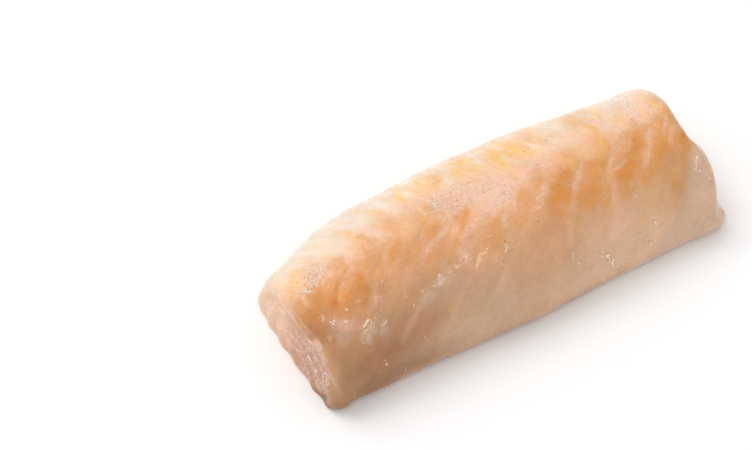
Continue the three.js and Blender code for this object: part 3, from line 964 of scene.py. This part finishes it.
def ribbons(parts, lift, thickness):
    """Closed flat ribbons, as one mesh. Each part is (points, normals, widths); the half width
    follows about sin(pi s)^0.5 from tip to tip, and each ring is four points of an ellipse."""
    centre = np.concatenate([part[0] for part in parts])
    normal = np.concatenate([part[1] for part in parts])
    width = np.concatenate([np.asarray(part[2], float) for part in parts])
    s = np.linspace(0, 1, STEPS)
    half = 0.5 * width[:, None] * np.sin(np.pi * (0.03 + 0.94 * s))[None] ** 0.5
    ahead = np.gradient(centre, axis=1)
    ahead /= np.linalg.norm(ahead, axis=2, keepdims=True) + 1e-9
    side = np.cross(normal, ahead)
    turn = 2 * np.pi * np.arange(SIDES) / SIDES
    across = side[:, :, None] * (half[..., None] * np.cos(turn))[..., None]
    up = normal[:, :, None] * (lift + thickness * (half / half.max(axis=1, keepdims=True))[..., None]
                               * np.sin(turn))[..., None]
    rings = centre[:, :, None] + across + up
    count = len(width)
    start = np.arange(count)[:, None, None] * STEPS * SIDES
    squares = (start + grid_faces(STEPS, SIDES)[None]).reshape(-1, 4)
    cap = np.arange(count)[:, None] * STEPS * SIDES + np.arange(SIDES)[None]
    caps = np.concatenate([cap, cap[:, ::-1] + (STEPS - 1) * SIDES])
    return rings.reshape(-1, 3), squares[:, ::-1], caps


print("skin normals point up on the ridge:", bool(SKIN_NORMAL[150, 110, 2] > 0))


# %% Where the shreds lie
# Distance along, girth, angle (90 is up over the ridge), length, width.
SEAM_SHREDS = [
    (95.6, 3.4, 40, 2.6, 0.5),
    (91.8, 6.4, 42, 2.4, 0.4),
    (78.4, 7, 50, 2, 0.6),
    (84, 2.4, 52, 2.4, 0.3),
    (65.6, 9, 50, 2.8, 0.6),
    (64.6, 10.4, 46, 2, 0.45),
    (57.6, 6.4, 42, 2.4, 0.45),
    (53.8, 8, 20, 1.8, 0.5),
    (46.6, 6.2, 24, 2.6, 0.4),
    (43, 7.8, 20, 2, 0.35),
    (61.5, 5.4, 4, 4, 0.22),
    (71.6, 5.6, 56, 2.4, 0.45),
    (70.6, 0.4, 84, 2.6, 0.4),
    (111.5, 1, 50, 2.2, 0.36),
    (107.4, 7.6, 16, 3, 0.3),
    (121.2, 4.6, 48, 2.6, 0.45),
    (117, 8.2, 42, 2.2, 0.3),
    (128.2, 3, 56, 2.8, 0.5),
    (9.4, 13.4, -30, 1.6, 0.9),
]
# The bright shreds stand where the wet glints are: partly pale tissue, partly painted glints.
BRIGHT_SHREDS = [
    (11.6, -3.6, 40, 2.6, 1.6),
    (9.4, -5, -40, 2.2, 1.2),
    (8, -2, 30, 2, 1.00),
    (4.6, -0.4, -20, 3, 1.7),
    (2.6, -1.8, -60, 2.4, 1.2),
    (6.2, -2.6, 50, 2, 1.00),
    (5.8, 11.2, -20, 1.2, 1.00),
    (10.6, 10.8, -30, 0.8, 0.7),
    (9, 12.8, -10, 1, 0.9),
    (14.4, 17, 40, 2.4, 1.00),
    (15.4, 17.2, 80, 1.4, 0.5),
    (12.8, 18.4, 20, 1.8, 0.4),
    (18.6, 19.6, 20, 1.8, 0.5),
    (17.6, 20.8, 60, 1.4, 0.35),
    (24.4, 9.8, 40, 1.8, 0.45),
    (15.6, 30, -72, 3, 0.6),
    (28.2, 29, -60, 2.2, 0.24),
    (21.2, 36.8, 84, 2.2, 0.24),
    (28.4, 19.6, 50, 1, 0.45),
    (32.6, 17.4, 40, 1.2, 0.45),
    (36.6, 17.8, 10, 1.2, 0.55),
    (39.2, 16.4, 20, 1.8, 0.55),
    (42.4, 16.6, 0, 1.4, 0.35),
    (49.2, 14.8, 20, 1.4, 0.5),
    (60.8, 16.6, 38, 3, 0.6),
    (64, 15.4, 10, 2, 0.35),
    (55.6, 14.8, 20, 1.4, 0.4),
    (58.8, 12, 0, 1.8, 0.4),
    (65.8, 12.4, 20, 1.4, 0.4),
    (79, 25.4, -86, 3, 0.8),
    (80, 28.6, -84, 2.6, 0.7),
    (88, 27.6, -70, 1.6, 0.7),
    (87.8, 28.8, -30, 2.2, 0.7),
    (90.2, 29.8, -46, 3, 1.2),
    (92, 32, -60, 3, 1.2),
    (93.2, 34.6, -80, 2.4, 1.00),
    (90.6, 31.4, -50, 2, 0.8),
    (91.8, 27, -60, 1.4, 0.4),
    (95.2, 38, 86, 1.8, 0.9),
    (100, 28.8, -30, 1.2, 0.36),
    (101.4, 31, -50, 2, 0.36),
    (97, 14.2, 0, 0.8, 0.3),
    (105.2, 18, 30, 1, 0.35),
    (107.6, 25.6, -60, 1.2, 0.8),
    (108.4, 27.4, -60, 1.6, 0.9),
    (109.2, 29, -60, 1.4, 0.8),
    (107.4, 29.4, -50, 1.2, 0.8),
    (107.4, 33.4, -20, 1.6, 0.9),
    (110.4, 34.6, -30, 1.6, 1.00),
    (105.8, 31, -30, 1.4, 0.8),
    (102.8, 34.4, 60, 1.4, 0.7),
    (127.8, 19.2, 62, 2.6, 1.1),
    (128.8, 17.2, 60, 1.8, 0.9),
    (128, 20.6, 10, 1.4, 0.9),
    (130.6, 23.6, -20, 1.4, 0.9),
    (129.6, 36, 80, 2.4, 0.3),
    (51.4, -4.4, -60, 2.6, 1.00),
    (52.6, -1.8, -60, 2, 0.8),
    (50.6, -5.6, -50, 1.4, 0.6),
]
# Crumbs lie in crops: distance along, girth, angle, spread along and across that angle, how many.
CRUMB_CROPS = [
    (8.5, -4, 25, 2.4, 1.6, 22),
    (5, -0.6, 0, 1.6, 0.5, 8),
    (27.2, 4, 75, 3.4, 0.6, 22),
    (7.5, 12, -30, 3, 0.9, 6),
    (15.5, 18, -30, 2.2, 0.9, 6),
    (24, 10, 20, 1.8, 0.6, 4),
    (24, 12, 30, 4.5, 2.6, 14),
    (34, 8, 30, 5, 2.6, 12),
    (38.5, 16.6, 10, 2.8, 0.8, 14),
    (45.5, 6.6, 24, 3.4, 0.5, 7),
    (56, 7.2, 38, 2.4, 0.7, 7),
    (65.3, 9.6, 48, 1.6, 0.5, 5),
    (61, 12.6, 5, 4, 0.9, 5),
    (63.5, 14, 10, 3.4, 1.2, 10),
    (70.5, 1, 80, 3.6, 1.2, 16),
    (81, 4.8, 50, 3.4, 0.6, 8),
    (92, 6, 41, 4.8, 0.5, 26),
    (108, 3.2, 44, 4, 0.6, 8),
    (119, 6.4, 44, 4.4, 0.6, 16),
    (127.6, 3.6, 52, 2.6, 0.6, 6),
    (90.6, 30.6, -58, 2.6, 0.9, 6),
    (108, 27.4, -55, 1.8, 0.9, 8),
    (106, 32.6, -20, 2.6, 1.2, 9),
    (128.2, 18.6, 60, 1.6, 0.6, 6),
    (60, -4, 0, 8, 3.6, 24),
    (122, -9, 60, 5, 2, 12),
    (128, -2, 60, 3, 2, 8),
    (60, -30, -10, 30, 6, 24),
]


def crumbs(crops, length, width, seed):
    """Rows of small strokes, drawn round the middle of each crop with seeded normal draws."""
    draw = np.random.default_rng(seed)
    rows = []
    for a, b, angle, spread_along, spread_across, count in crops:
        turn = np.radians(angle)
        forward = spread_along * draw.normal(size=count)
        sideways = spread_across * draw.normal(size=count)
        rows.append(np.stack([
            a + forward * np.cos(turn) + sideways * np.sin(turn),
            b - forward * np.sin(turn) + sideways * np.cos(turn),
            angle + 30 * draw.normal(size=count),
            draw.uniform(*length, size=count),
            draw.uniform(*width, size=count),
        ], axis=-1))
    return np.concatenate(rows)


SPLIT = {"pieces": 3, "share": 0.5, "aside": 0.30, "turned": 12}


def split_strokes(rows, seed):
    """Each stroke as a few shorter ones that lie one after the other, a little aside and turned."""
    draw = np.random.default_rng(seed)
    a, b, angle, length, width = np.repeat(np.asarray(rows, float), SPLIT["pieces"], axis=0).T
    turn = np.radians(angle)
    steps = np.tile(np.linspace(-1, 1, SPLIT["pieces"]), len(rows))
    forward = length * (1 - SPLIT["share"]) / 2 * (steps + 0.3 * draw.normal(size=len(a)))
    sideways = width * SPLIT["aside"] * draw.normal(size=len(a))
    return np.stack([
        a + forward * np.cos(turn) + sideways * np.sin(turn),
        b - forward * np.sin(turn) + sideways * np.cos(turn),
        angle + SPLIT["turned"] * draw.normal(size=len(a)),
        length * SPLIT["share"] * draw.uniform(0.7, 1.2, size=len(a)),
        width * draw.uniform(0.35, 0.75, size=len(a)),
    ], axis=-1)


# On the cuts the two coordinates are y and z; z grows upwards, so 90 degrees is downwards there.
CUT_CROPS = [
    (-17, 9, 75, 4.6, 1.8, 60),
    (-11, 12, 65, 4.4, 3, 26),
    (4, 9, 20, 7, 4, 14),
]


def inside_cut(rows, ring_y_end, ring_z_end):
    """Keeps the strokes whose middle lies well inside the end ring."""
    angle_of_rim = np.arctan2(ring_z_end - CUT_HEART[1], ring_y_end - CUT_HEART[0])
    order = np.argsort(angle_of_rim)
    rim = np.hypot(ring_y_end - CUT_HEART[0], ring_z_end - CUT_HEART[1])[order]
    angle = np.arctan2(rows[:, 1] - CUT_HEART[1], rows[:, 0] - CUT_HEART[0])
    reach = np.interp(angle, angle_of_rim[order], rim, period=2 * np.pi)
    return rows[np.hypot(rows[:, 0] - CUT_HEART[0], rows[:, 1] - CUT_HEART[1]) < reach - 1.2]


def strokes_on(surface, strokes, bend=0.06, squiggle=0.3):
    """One part for ribbons(): the strokes laid on a surface."""
    place, normal = surface(*stroke_paths(strokes, bend, squiggle))
    return place, normal, np.asarray(strokes, float)[:, 4]


CRUMB_MARGIN = 3
CRUMB_GIRTHS = (-38, 37)
skin_crumbs = crumbs(CRUMB_CROPS, (0.35, 0.9), (0.16, 0.34), 51)
skin_crumbs[:, 0] = np.clip(skin_crumbs[:, 0], CRUMB_MARGIN, LENGTH - CRUMB_MARGIN)
skin_crumbs[:, 1] = np.clip(skin_crumbs[:, 1], *CRUMB_GIRTHS)
left_crumbs = inside_cut(crumbs(CUT_CROPS, (0.5, 2.2), (0.16, 0.46), 52), ring_y[0], ring_z[0])
right_crumbs = inside_cut(crumbs(CUT_CROPS, (0.6, 3.0), (0.2, 0.5), 53), ring_y[-1], ring_z[-1])[::3]
parts = [
    strokes_on(on_skin, split_strokes(SEAM_SHREDS, 54)),
    strokes_on(on_skin, split_strokes(BRIGHT_SHREDS, 55)),
    strokes_on(on_skin, skin_crumbs),
    strokes_on(lambda y, z: on_cut(0, y, z), left_crumbs, bend=0.05, squiggle=0.12),
    strokes_on(lambda y, z: on_cut(1, y, z), right_crumbs, bend=0.05, squiggle=0.12),
]
# Paleness 1.0, of the bright shreds, is partly painted glint.
PALENESS = [0.65, 1.0, 0.50, 0.72, 0.4]  # of the ribbons in each part
shred_points, shred_squares, shred_caps = ribbons(parts, lift=0.02, thickness=0.13)
shred_points = np.clip(shred_points, low, high)
shreds = new_mesh_object("pale_shreds", shred_points * MM, shred_squares, shred_caps)
paleness = np.concatenate([np.full(len(part[2]) * STEPS * SIDES, p) for part, p in zip(parts, PALENESS)])
set_attribute(shreds, "paleness", paleness)
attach(shreds, "root")
print("pale_shreds:", sum(len(part[2]) for part in parts), "ribbons,", len(shreds.data.polygons), "faces")


# %% Colours of the patches
ORANGE = screen(214, 138, 48)
YELLOW = screen(243, 192, 112)
RED = screen(206, 112, 38)
PATCHES = [("orange", ORANGE, 0.92), ("yellow", YELLOW, 0.82), ("red", RED, 0.75)]
PALE = screen(244, 194, 170)
FROST = screen(250, 212, 198)
FILM_BROWN = screen(206, 148, 106)
CREST_WHITE = screen(246, 232, 220)
CREST_GOLD = screen(238, 196, 142)
PINKER = (1.0, 0.89, 0.92, 1.0)
GOLDEN = (1.0, 0.94, 0.75, 1.0)
# Pale grey of the silvery patches, partly painted sheen.
SILVER_AND_SHEEN = screen(222, 212, 200)
# Pale threads on the cuts, partly painted wet glints.
CUT_THREADS_AND_GLINTS = screen(252, 222, 208)
CUT_LILAC = screen(212, 164, 148)
THREAD = screen(252, 214, 194)
HAIR_BROWN = screen(190, 122, 74)
SPECK_DARK = screen(150, 82, 40)
SPECK_PALE = screen(255, 230, 218)
# Spacing (mm), least and greatest radius (shares of it), mask, kept share, colour, strength.
SPECKS = [
    (1.6, 0.08, 0.17, "marks", 0.6, SPECK_DARK, 0.75),
    (1.1, 0.1, 0.22, "marks", 0.3, SPECK_DARK, 0.7),
    (1, 0.16, 0.34, "film", 0.5, SPECK_PALE, 0.6),
]
print("patch colours ready")


# %% [markdown]
# ## Node helpers
#
# A material is a graph, and a graph built in code soon gets long. A few helpers keep it readable:
# they add a node, do a sum, make a ramp, mix two colours by a mask, read a number of the mesh, and
# make noise.

# %% Node helpers
def add(tree, kind, inputs=None, **settings):
    """Adds a shader node. Inputs maps a socket to a value or to the output that feeds it."""
    node = tree.nodes.new("ShaderNode" + kind)
    for name, value in settings.items():
        setattr(node, name, value)
    for socket, value in (inputs or {}).items():
        if isinstance(value, bpy.types.NodeSocket):
            tree.links.new(value, node.inputs[socket])
        else:
            node.inputs[socket].default_value = value
    return node


def calc(tree, operation, *values, clamp=False):
    """One sum, as the output of a Math node."""
    return add(tree, "Math", dict(enumerate(values)), operation=operation, use_clamp=clamp).outputs[0]


def between(tree, value, low, high, to_low=0.0, to_high=1.0):
    """A smooth ramp from low to high."""
    inputs = {0: value, 1: low, 2: high, 3: to_low, 4: to_high}
    return add(tree, "MapRange", inputs, interpolation_type="SMOOTHSTEP").outputs[0]


def mixed(tree, mask, under, over, blend_type="MIX"):
    """The colour over, laid on the colour under by the mask."""
    inputs = {0: mask, 6: under, 7: over}
    return add(tree, "Mix", inputs, data_type="RGBA", blend_type=blend_type).outputs[2]


def attribute(tree, name):
    """One number of the mesh's points."""
    return add(tree, "Attribute", attribute_name=name).outputs["Fac"]


def speckle(tree, vector, per_mm, detail=2.0, roughness=0.5):
    """Noise from 0 to 1; per_mm grains in each millimetre of the vector, which is in metres."""
    inputs = {"Vector": vector, "Scale": per_mm / MM, "Detail": detail, "Roughness": roughness}
    return add(tree, "TexNoise", inputs, noise_dimensions="3D").outputs["Fac"]


print("node helpers ready: add, calc, between, mixed, attribute, speckle")


# %% [markdown]
# ## The wet surface
#
# Raw fish is wet. The water lies unevenly, so the shine breaks into small pieces. The loin and the
# pale shreds on it both need this, so it is a node group: it gives the shine and the height of the
# wet ripples, at a strength that each material chooses.

# %% Node group: wet surface
def wet_surface_group():
    """Vector, dry and wet roughness and ripple in; roughness and height of a film of water out."""
    group = bpy.data.node_groups.new("wet surface", "ShaderNodeTree")
    group.interface.new_socket("Vector", in_out="INPUT", socket_type="NodeSocketVector")
    for name, value in (("Dry", 0.5), ("Wet", 0.28), ("Ripple", 1.0)):
        socket = group.interface.new_socket(name, in_out="INPUT", socket_type="NodeSocketFloat")
        socket.default_value = value
    group.interface.new_socket("Roughness", in_out="OUTPUT", socket_type="NodeSocketFloat")
    group.interface.new_socket("Height", in_out="OUTPUT", socket_type="NodeSocketFloat")
    given = group.nodes.new("NodeGroupInput").outputs
    pools = between(group, speckle(group, given["Vector"], 0.35, 3), 0.4, 0.62)
    roughness = add(group, "Mix", {0: pools, 2: given["Dry"], 3: given["Wet"]}).outputs[0]
    coarse = speckle(group, given["Vector"], 0.7, 3)
    fine = speckle(group, given["Vector"], 2.6, 2)
    sum_of_both = calc(group, "MULTIPLY_ADD", fine, 0.35, coarse)
    height = calc(group, "MULTIPLY", sum_of_both, given["Ripple"])
    result = group.nodes.new("NodeGroupOutput")
    group.links.new(roughness, result.inputs["Roughness"])
    group.links.new(height, result.inputs["Height"])
    return group


WET_SURFACE = wet_surface_group()
print("group:", WET_SURFACE.name, [s.name for s in WET_SURFACE.interface.items_tree])


# %% [markdown]
# ## The flesh: what its nodes read
#
# The colour of the flesh is built in layers, and most layers need the same few things: the masks of
# the mesh, and noises of several sizes. They are made once here. The streaks run with the seams:
# their vector is the distance across the flakes and a share of the girth, so they are two to three
# times longer than wide. A noise on plain coordinates would give round blots with no grain to them.

# %% Numbers and noises of the flesh
def times(tree, *values, clamp=False):
    """The product of all the values."""
    product = values[0]
    for value in values[1:]:
        product = calc(tree, "MULTIPLY", product, value, clamp=clamp)
    return product


def flesh_fields(tree):
    """The masks by name, streaks along the seams, and round noises from slow to fine."""
    f = SimpleNamespace(**{name: attribute(tree, name) for name in masks})
    across = times(tree, f.flake, FLAKE_PITCH * MM)

    def streaky(stretch, per_mm, detail, roughness=0.6):
        lengthwise = times(tree, f.girth, MM / stretch)
        vector = add(tree, "CombineXYZ", {0: across, 1: lengthwise}).outputs[0]
        return speckle(tree, vector, per_mm, detail, roughness)

    f.place = add(tree, "TexCoord").outputs["Object"]
    f.wedges = streaky(3, 0.24, 2, 0.5)
    f.swing = streaky(1.8, 0.27, 3, 0.5)
    f.streaks = streaky(2.5, 0.6, 3, 0.55)
    f.hairs = streaky(2.6, 1.8, 3)
    f.bright_hairs = between(tree, f.hairs, 0.54, 0.64)
    f.soft = speckle(tree, f.place, 0.12, 3)
    f.medium = speckle(tree, f.place, 0.6, 4, 0.65)
    f.grain = speckle(tree, f.place, 2.4, 3, 0.65)
    f.grains = between(tree, f.grain, 0.46, 0.6)
    drag = add(tree, "Mapping", {"Vector": f.place, "Scale": (1.0, 1.0, 0.3)}).outputs[0]
    f.fibres = between(tree, speckle(tree, drag, 1.1, 4, 0.65), 0.46, 0.62)
    f.frayed = between(tree, f.torn, 0.0, 0.8, 0.15, 1.0)
    return f


print("flesh reads:", ", ".join(masks))


# %% [markdown]
# ## The flesh: patches and hue
#
# First come the large things. Each patch is laid on the ground by its mask, and streaks break up
# its edge. Then the crest gets wedges of white and gold, and all over the hue swings between pinkish
# and golden. Multiplying by a tint moves the hue without hiding what lies under it.

# %% Patches and hue
def lay_patches(tree, f):
    """The ground with orange, yellow and red on it, and pale silvery patches: leftovers of the film, partly
    painted sheen.
    """
    colour = add(tree, "Attribute", attribute_name="ground").outputs["Color"]
    both = calc(tree, "MULTIPLY_ADD", f.streaks, 0.5, times(tree, f.medium, 0.5))
    break_up = between(tree, both, 0.35, 0.65, 0.8, 1.15)
    for mask, paint, strength in PATCHES:
        amount = times(tree, getattr(f, mask), break_up, strength, clamp=True)
        colour = mixed(tree, amount, colour, paint)
    silver = times(tree, f.silver, between(tree, f.medium, 0.35, 0.6, 0.4, 1.0), 0.6)
    return mixed(tree, silver, colour, SILVER_AND_SHEEN)


def lay_hue(tree, f, colour):
    """Wedges of white and gold on the crest, and a swing between pinkish and golden all over."""
    above = between(tree, f.girth, -3, -13)
    crest = times(tree, above, between(tree, f.girth, -40, -24, 0.35, 1.0), f.side)
    white = times(tree, crest, between(tree, f.wedges, 0.48, 0.66), 0.42)
    gold = times(tree, crest, between(tree, f.wedges, 0.48, 0.34), 0.32)
    colour = mixed(tree, gold, mixed(tree, white, colour, CREST_WHITE), CREST_GOLD)
    pinker = times(tree, f.side, between(tree, f.swing, 0.48, 0.64), 0.5)
    golden = times(tree, f.side, between(tree, f.swing, 0.50, 0.36), 0.5)
    colour = mixed(tree, pinker, colour, PINKER, "MULTIPLY")
    return mixed(tree, golden, colour, GOLDEN, "MULTIPLY")


print("patches:", [mask for mask, paint, strength in PATCHES])


# %% [markdown]
# ## The flesh: film, pale lines and threads
#
# Then come the things that are a millimetre wide or less: frost where the film was left, pale lines
# where two flakes meet with bright broken hairs in them, faint threads in every seam, and the pale
# threads that the blade pulled down the cuts, which partly paint the wet glints of the torn flesh.
# Hairs get fainter low down.

# %% Film, pale lines and threads
def lay_film(tree, f, colour):
    """Frost: what is left of the silvery film, as fine pale grains with brown between them."""
    frost = times(tree, f.film, calc(tree, "MULTIPLY_ADD", f.grains, 0.5, 0.2))
    colour = mixed(tree, frost, colour, FROST)
    return mixed(tree, times(tree, f.film, between(tree, f.grain, 0.46, 0.34), 0.45), colour, FILM_BROWN)


def lay_lines(tree, f, colour):
    """Pale lines with bright hairs, then a thread in each seam: pale where the distance to the
    nearest whole flake number is small."""
    shown = between(tree, f.streaks, 0.35, 0.6, 0.42, 0.8)
    colour = mixed(tree, times(tree, f.pale, shown), colour, PALE)
    colour = mixed(tree, times(tree, f.pale, f.bright_hairs, 0.55), colour, THREAD)
    wobble = calc(tree, "MULTIPLY_ADD", calc(tree, "SUBTRACT", f.medium, 0.5), 0.16, f.flake)
    from_seam = times(tree, calc(tree, "PINGPONG", wobble, 0.5), FLAKE_PITCH)
    far = between(tree, f.girth, -34, -18, 0.8, 0.35)
    thread_shown = times(tree, far, between(tree, f.girth, 30, 12, 0.5, 1.0))
    thread = times(tree, between(tree, from_seam, 1.5, 0.1), thread_shown, f.side)
    return mixed(tree, times(tree, thread, between(tree, f.hairs, 0.42, 0.62), 0.22), colour, THREAD)


def lay_hairs(tree, f, colour):
    """Pale and brown hairs everywhere on the side, fainter low down."""
    upper = times(tree, between(tree, f.girth, 24, 8, 0.25, 1.0), f.side)
    light = times(tree, between(tree, f.hairs, 0.56, 0.68), upper, 0.12)
    dark = times(tree, between(tree, f.hairs, 0.44, 0.34), upper, 0.08)
    return mixed(tree, dark, mixed(tree, light, colour, THREAD), HAIR_BROWN)


def lay_cut_threads(tree, f, colour):
    """The cuts: lilac where the flesh is torn, and pale threads that run down the face, partly painted glints
    of the wet torn flesh.
    """
    colour = mixed(tree, times(tree, f.cut, f.frayed, 0.35), colour, CUT_LILAC)
    return mixed(tree, times(tree, f.cut, f.fibres, f.frayed, 0.75), colour, CUT_THREADS_AND_GLINTS)


print("layers ready: film, lines, hairs, cut threads")


# %% [markdown]
# ## The flesh: specks and unevenness
#
# Specks are round cells of a Voronoi texture, of which only some are kept: each cell has a random
# colour, and it is kept where one channel of that is below the mask. Dark ones lie in the surface,
# pale ones stand out a little and catch the light. Last comes a slow cloudiness with fine grain,
# because no part of raw flesh has one even colour.

# %% Specks and unevenness
def lay_specks(tree, f, colour):
    """The colour with specks on it, and the mask of the raised pale ones."""
    raised = 0.0
    for spacing, least, most, mask, share_kept, paint, strength in SPECKS:
        cells = add(tree, "TexVoronoi", {"Vector": f.place, "Scale": 1 / (spacing * MM)})
        picked = add(tree, "SeparateColor", {0: cells.outputs["Color"]}).outputs
        kept = calc(tree, "LESS_THAN", picked[0], times(tree, getattr(f, mask), share_kept))
        size = between(tree, picked[1], 0, 1, least, most)
        round_spot = between(tree, calc(tree, "SUBTRACT", cells.outputs["Distance"], size), 0.06, -0.06)
        speck = times(tree, round_spot, kept, f.side)
        colour = mixed(tree, times(tree, speck, strength), colour, paint)
        if paint == SPECK_PALE:
            raised = speck
    return colour, raised


def lay_unevenness(tree, f, colour):
    """The colour times slow clouds, medium blotches and fine grain."""
    cloud = between(tree, f.soft, 0.3, 0.7, 0.95, 1.04)
    light = calc(tree, "MULTIPLY_ADD", calc(tree, "SUBTRACT", f.grain, 0.5), 0.34, cloud)
    light = calc(tree, "MULTIPLY_ADD", calc(tree, "SUBTRACT", f.medium, 0.5), 0.16, light)
    grey = add(tree, "CombineColor", {0: light, 1: light, 2: light}).outputs[0]
    return mixed(tree, 1.0, colour, grey, "MULTIPLY")


print("kinds of speck:", len(SPECKS))


# %% [markdown]
# ## The flesh: put together
#
# The layers are stacked in order, and what stands out of the surface also goes into the bump: hairs,
# frost, pale specks and the threads of the cuts. Light enters raw flesh and comes out a little
# further on, so subsurface scattering softens the whole, and a thin coat stands for the water.

# %% Material: flesh
def flesh_height(tree, f, ripples, raised):
    """Water ripples + 0.4 hairs in the pale lines + 0.5 frost + pale specks + 1.6 cut threads."""
    height = calc(tree, "MULTIPLY_ADD", times(tree, f.pale, f.bright_hairs), 0.4, ripples)
    height = calc(tree, "MULTIPLY_ADD", times(tree, f.film, f.grains), 0.5, height)
    height = calc(tree, "MULTIPLY_ADD", raised, 1.0, height)
    return calc(tree, "MULTIPLY_ADD", times(tree, f.cut, f.fibres, f.frayed), 1.6, height)


def flesh_material():
    """Cream, orange, tan and peach flesh with streaks, frost and dots, wet and slightly see-through."""
    material = bpy.data.materials.new("raw saithe flesh")
    material.use_nodes = True
    tree = material.node_tree
    tree.nodes.clear()
    f = flesh_fields(tree)
    colour = lay_patches(tree, f)
    for layer_on in (lay_hue, lay_film, lay_lines, lay_hairs, lay_cut_threads):
        colour = layer_on(tree, f, colour)
    colour, raised = lay_specks(tree, f, colour)
    wet = add(tree, "Group", {"Vector": f.place, "Dry": 0.45, "Wet": 0.2}, node_tree=WET_SURFACE)
    height = flesh_height(tree, f, wet.outputs["Height"], raised)
    bumped = add(tree, "Bump", {"Strength": 0.8, "Distance": 0.15 * MM, "Height": height})
    shader = add(tree, "BsdfPrincipled", {
        "Base Color": lay_unevenness(tree, f, colour),
        "Roughness": wet.outputs["Roughness"],
        "Normal": bumped.outputs[0],
        "IOR": 1.38,
        "Subsurface Weight": 0.3,
        "Subsurface Radius": (1.0, 0.55, 0.32),
        "Subsurface Scale": 1.5 * MM,
        "Coat Weight": 0.35,
        "Coat Roughness": 0.14,
    })
    add(tree, "OutputMaterial", {"Surface": shader.outputs[0]})
    return material


FLESH = flesh_material()
loin.data.materials.append(FLESH)
print("material:", FLESH.name, len(FLESH.node_tree.nodes), "nodes")


# %% [markdown]
# ## The shreds
#
# The shreds are paler and shinier than the flesh, and no light scatters inside them. Their palest
# colour partly paints the wet glints. They share the wet surface group, and each of their five parts
# has its own paleness.

# %% Material: shreds
def shred_material():
    """Pale, pinkish and very wet: torn bits of the sheets between the flakes; the palest partly paint wet
    glints.
    """
    material = bpy.data.materials.new("pale wet shreds")
    material.use_nodes = True
    tree = material.node_tree
    tree.nodes.clear()
    place = add(tree, "TexCoord").outputs["Object"]
    blotch = between(tree, speckle(tree, place, 0.8, 2), 0.35, 0.65, 0.55, 1.0)
    paleness = calc(tree, "MULTIPLY", blotch, attribute(tree, "paleness"))
    # From tan to near-white: the near-white partly paints wet glints.
    colour = mixed(tree, paleness, screen(218, 164, 122), screen(253, 224, 196))
    film = {"Vector": place, "Dry": 0.35, "Wet": 0.15, "Ripple": 0.6}
    wet = add(tree, "Group", film, node_tree=WET_SURFACE)
    bumped = add(tree, "Bump", {"Strength": 0.4, "Distance": 0.1 * MM, "Height": wet.outputs["Height"]})
    shader = add(tree, "BsdfPrincipled", {
        "Base Color": colour,
        "Roughness": wet.outputs["Roughness"],
        "Normal": bumped.outputs[0],
        "Coat Weight": 0.5,
        "Coat Roughness": 0.08,
    })
    add(tree, "OutputMaterial", {"Surface": shader.outputs[0]})
    return material


shreds.data.materials.append(shred_material())
print("material:", shreds.data.materials[0].name)


# %% [markdown]
# ## Floor, light and camera
#
# The loin lies on a plain pale floor under one large soft lamp, set behind it and to the left, so
# that the crest is bright and the near side falls into a soft tan shade. A second lamp, small and
# weak, hangs high above and a little in front, for the sharp glints of the wet surface. The view
# is a long lens, turned 30 degrees to the left of straight on, and 55 degrees above the table. The
# Standard view transform adds no film curve to the colours.

# %% Floor
FLOOR_HALF = 1.2
floor_mesh = bpy.data.meshes.new("floor")
corners = [(x * FLOOR_HALF, y * FLOOR_HALF, 0) for x, y in ((-1, -1), (1, -1), (1, 1), (-1, 1))]
floor_mesh.from_pydata(corners, [], [(0, 1, 2, 3)])
floor = bpy.data.objects.new("floor", floor_mesh)
bpy.context.scene.collection.objects.link(floor)
floor_paint = bpy.data.materials.new("pale floor")
floor_paint.use_nodes = True
floor_shader = floor_paint.node_tree.nodes["Principled BSDF"]
floor_shader.inputs["Base Color"].default_value = (0.97, 0.97, 0.97, 1)
floor_shader.inputs["Roughness"].default_value = 0.8
floor_mesh.materials.append(floor_paint)
print("floor:", 2 * FLOOR_HALF, "m wide")


# %% Light
def soft_lamp(name, place, size, power):
    """A square lamp of this size (metres) and power (watts) that faces the origin."""
    lamp = bpy.data.lights.new(name, "AREA")
    lamp.size = size
    lamp.energy = power
    holder = bpy.data.objects.new(name, lamp)
    holder.location = place
    holder.rotation_euler = (-Vector(place)).to_track_quat("-Z", "Y").to_euler()
    bpy.context.scene.collection.objects.link(holder)


# Name, place, size, power.
LAMPS = [("key", (-0.25, 0.45, 0.80), 0.6, 3.1), ("spark", (0.05, -0.27, 0.95), 0.08, 0.35)]
SKY_STRENGTH = 0.80
for lamp_row in LAMPS:
    soft_lamp(*lamp_row)
sky = bpy.data.worlds.new("studio")
sky.use_nodes = True
sky.node_tree.nodes["Background"].inputs["Color"].default_value = (1, 1, 1, 1)
sky.node_tree.nodes["Background"].inputs["Strength"].default_value = SKY_STRENGTH
bpy.context.scene.world = sky
bpy.context.scene.view_settings.view_transform = "Standard"
print("lights: a large soft lamp, a small one for the glints, and a pale sky")


# %% Camera
AIM = Vector((-0.0237, 0.0251, 0.0))
AZIMUTH = np.radians(-30)
ELEVATION = np.radians(55)
DISTANCE = 0.6085
away = Vector((np.sin(AZIMUTH) * np.cos(ELEVATION), -np.cos(AZIMUTH) * np.cos(ELEVATION), np.sin(ELEVATION)))
camera = bpy.data.objects.new("camera", bpy.data.cameras.new("camera"))
camera.data.lens = 100
camera.data.sensor_width = 36
camera.data.clip_start = 0.01
camera.location = AIM + away * DISTANCE
camera.rotation_euler = away.to_track_quat("Z", "Y").to_euler()
bpy.context.scene.collection.objects.link(camera)
bpy.context.scene.camera = camera
print("camera at", [round(v, 3) for v in camera.location])
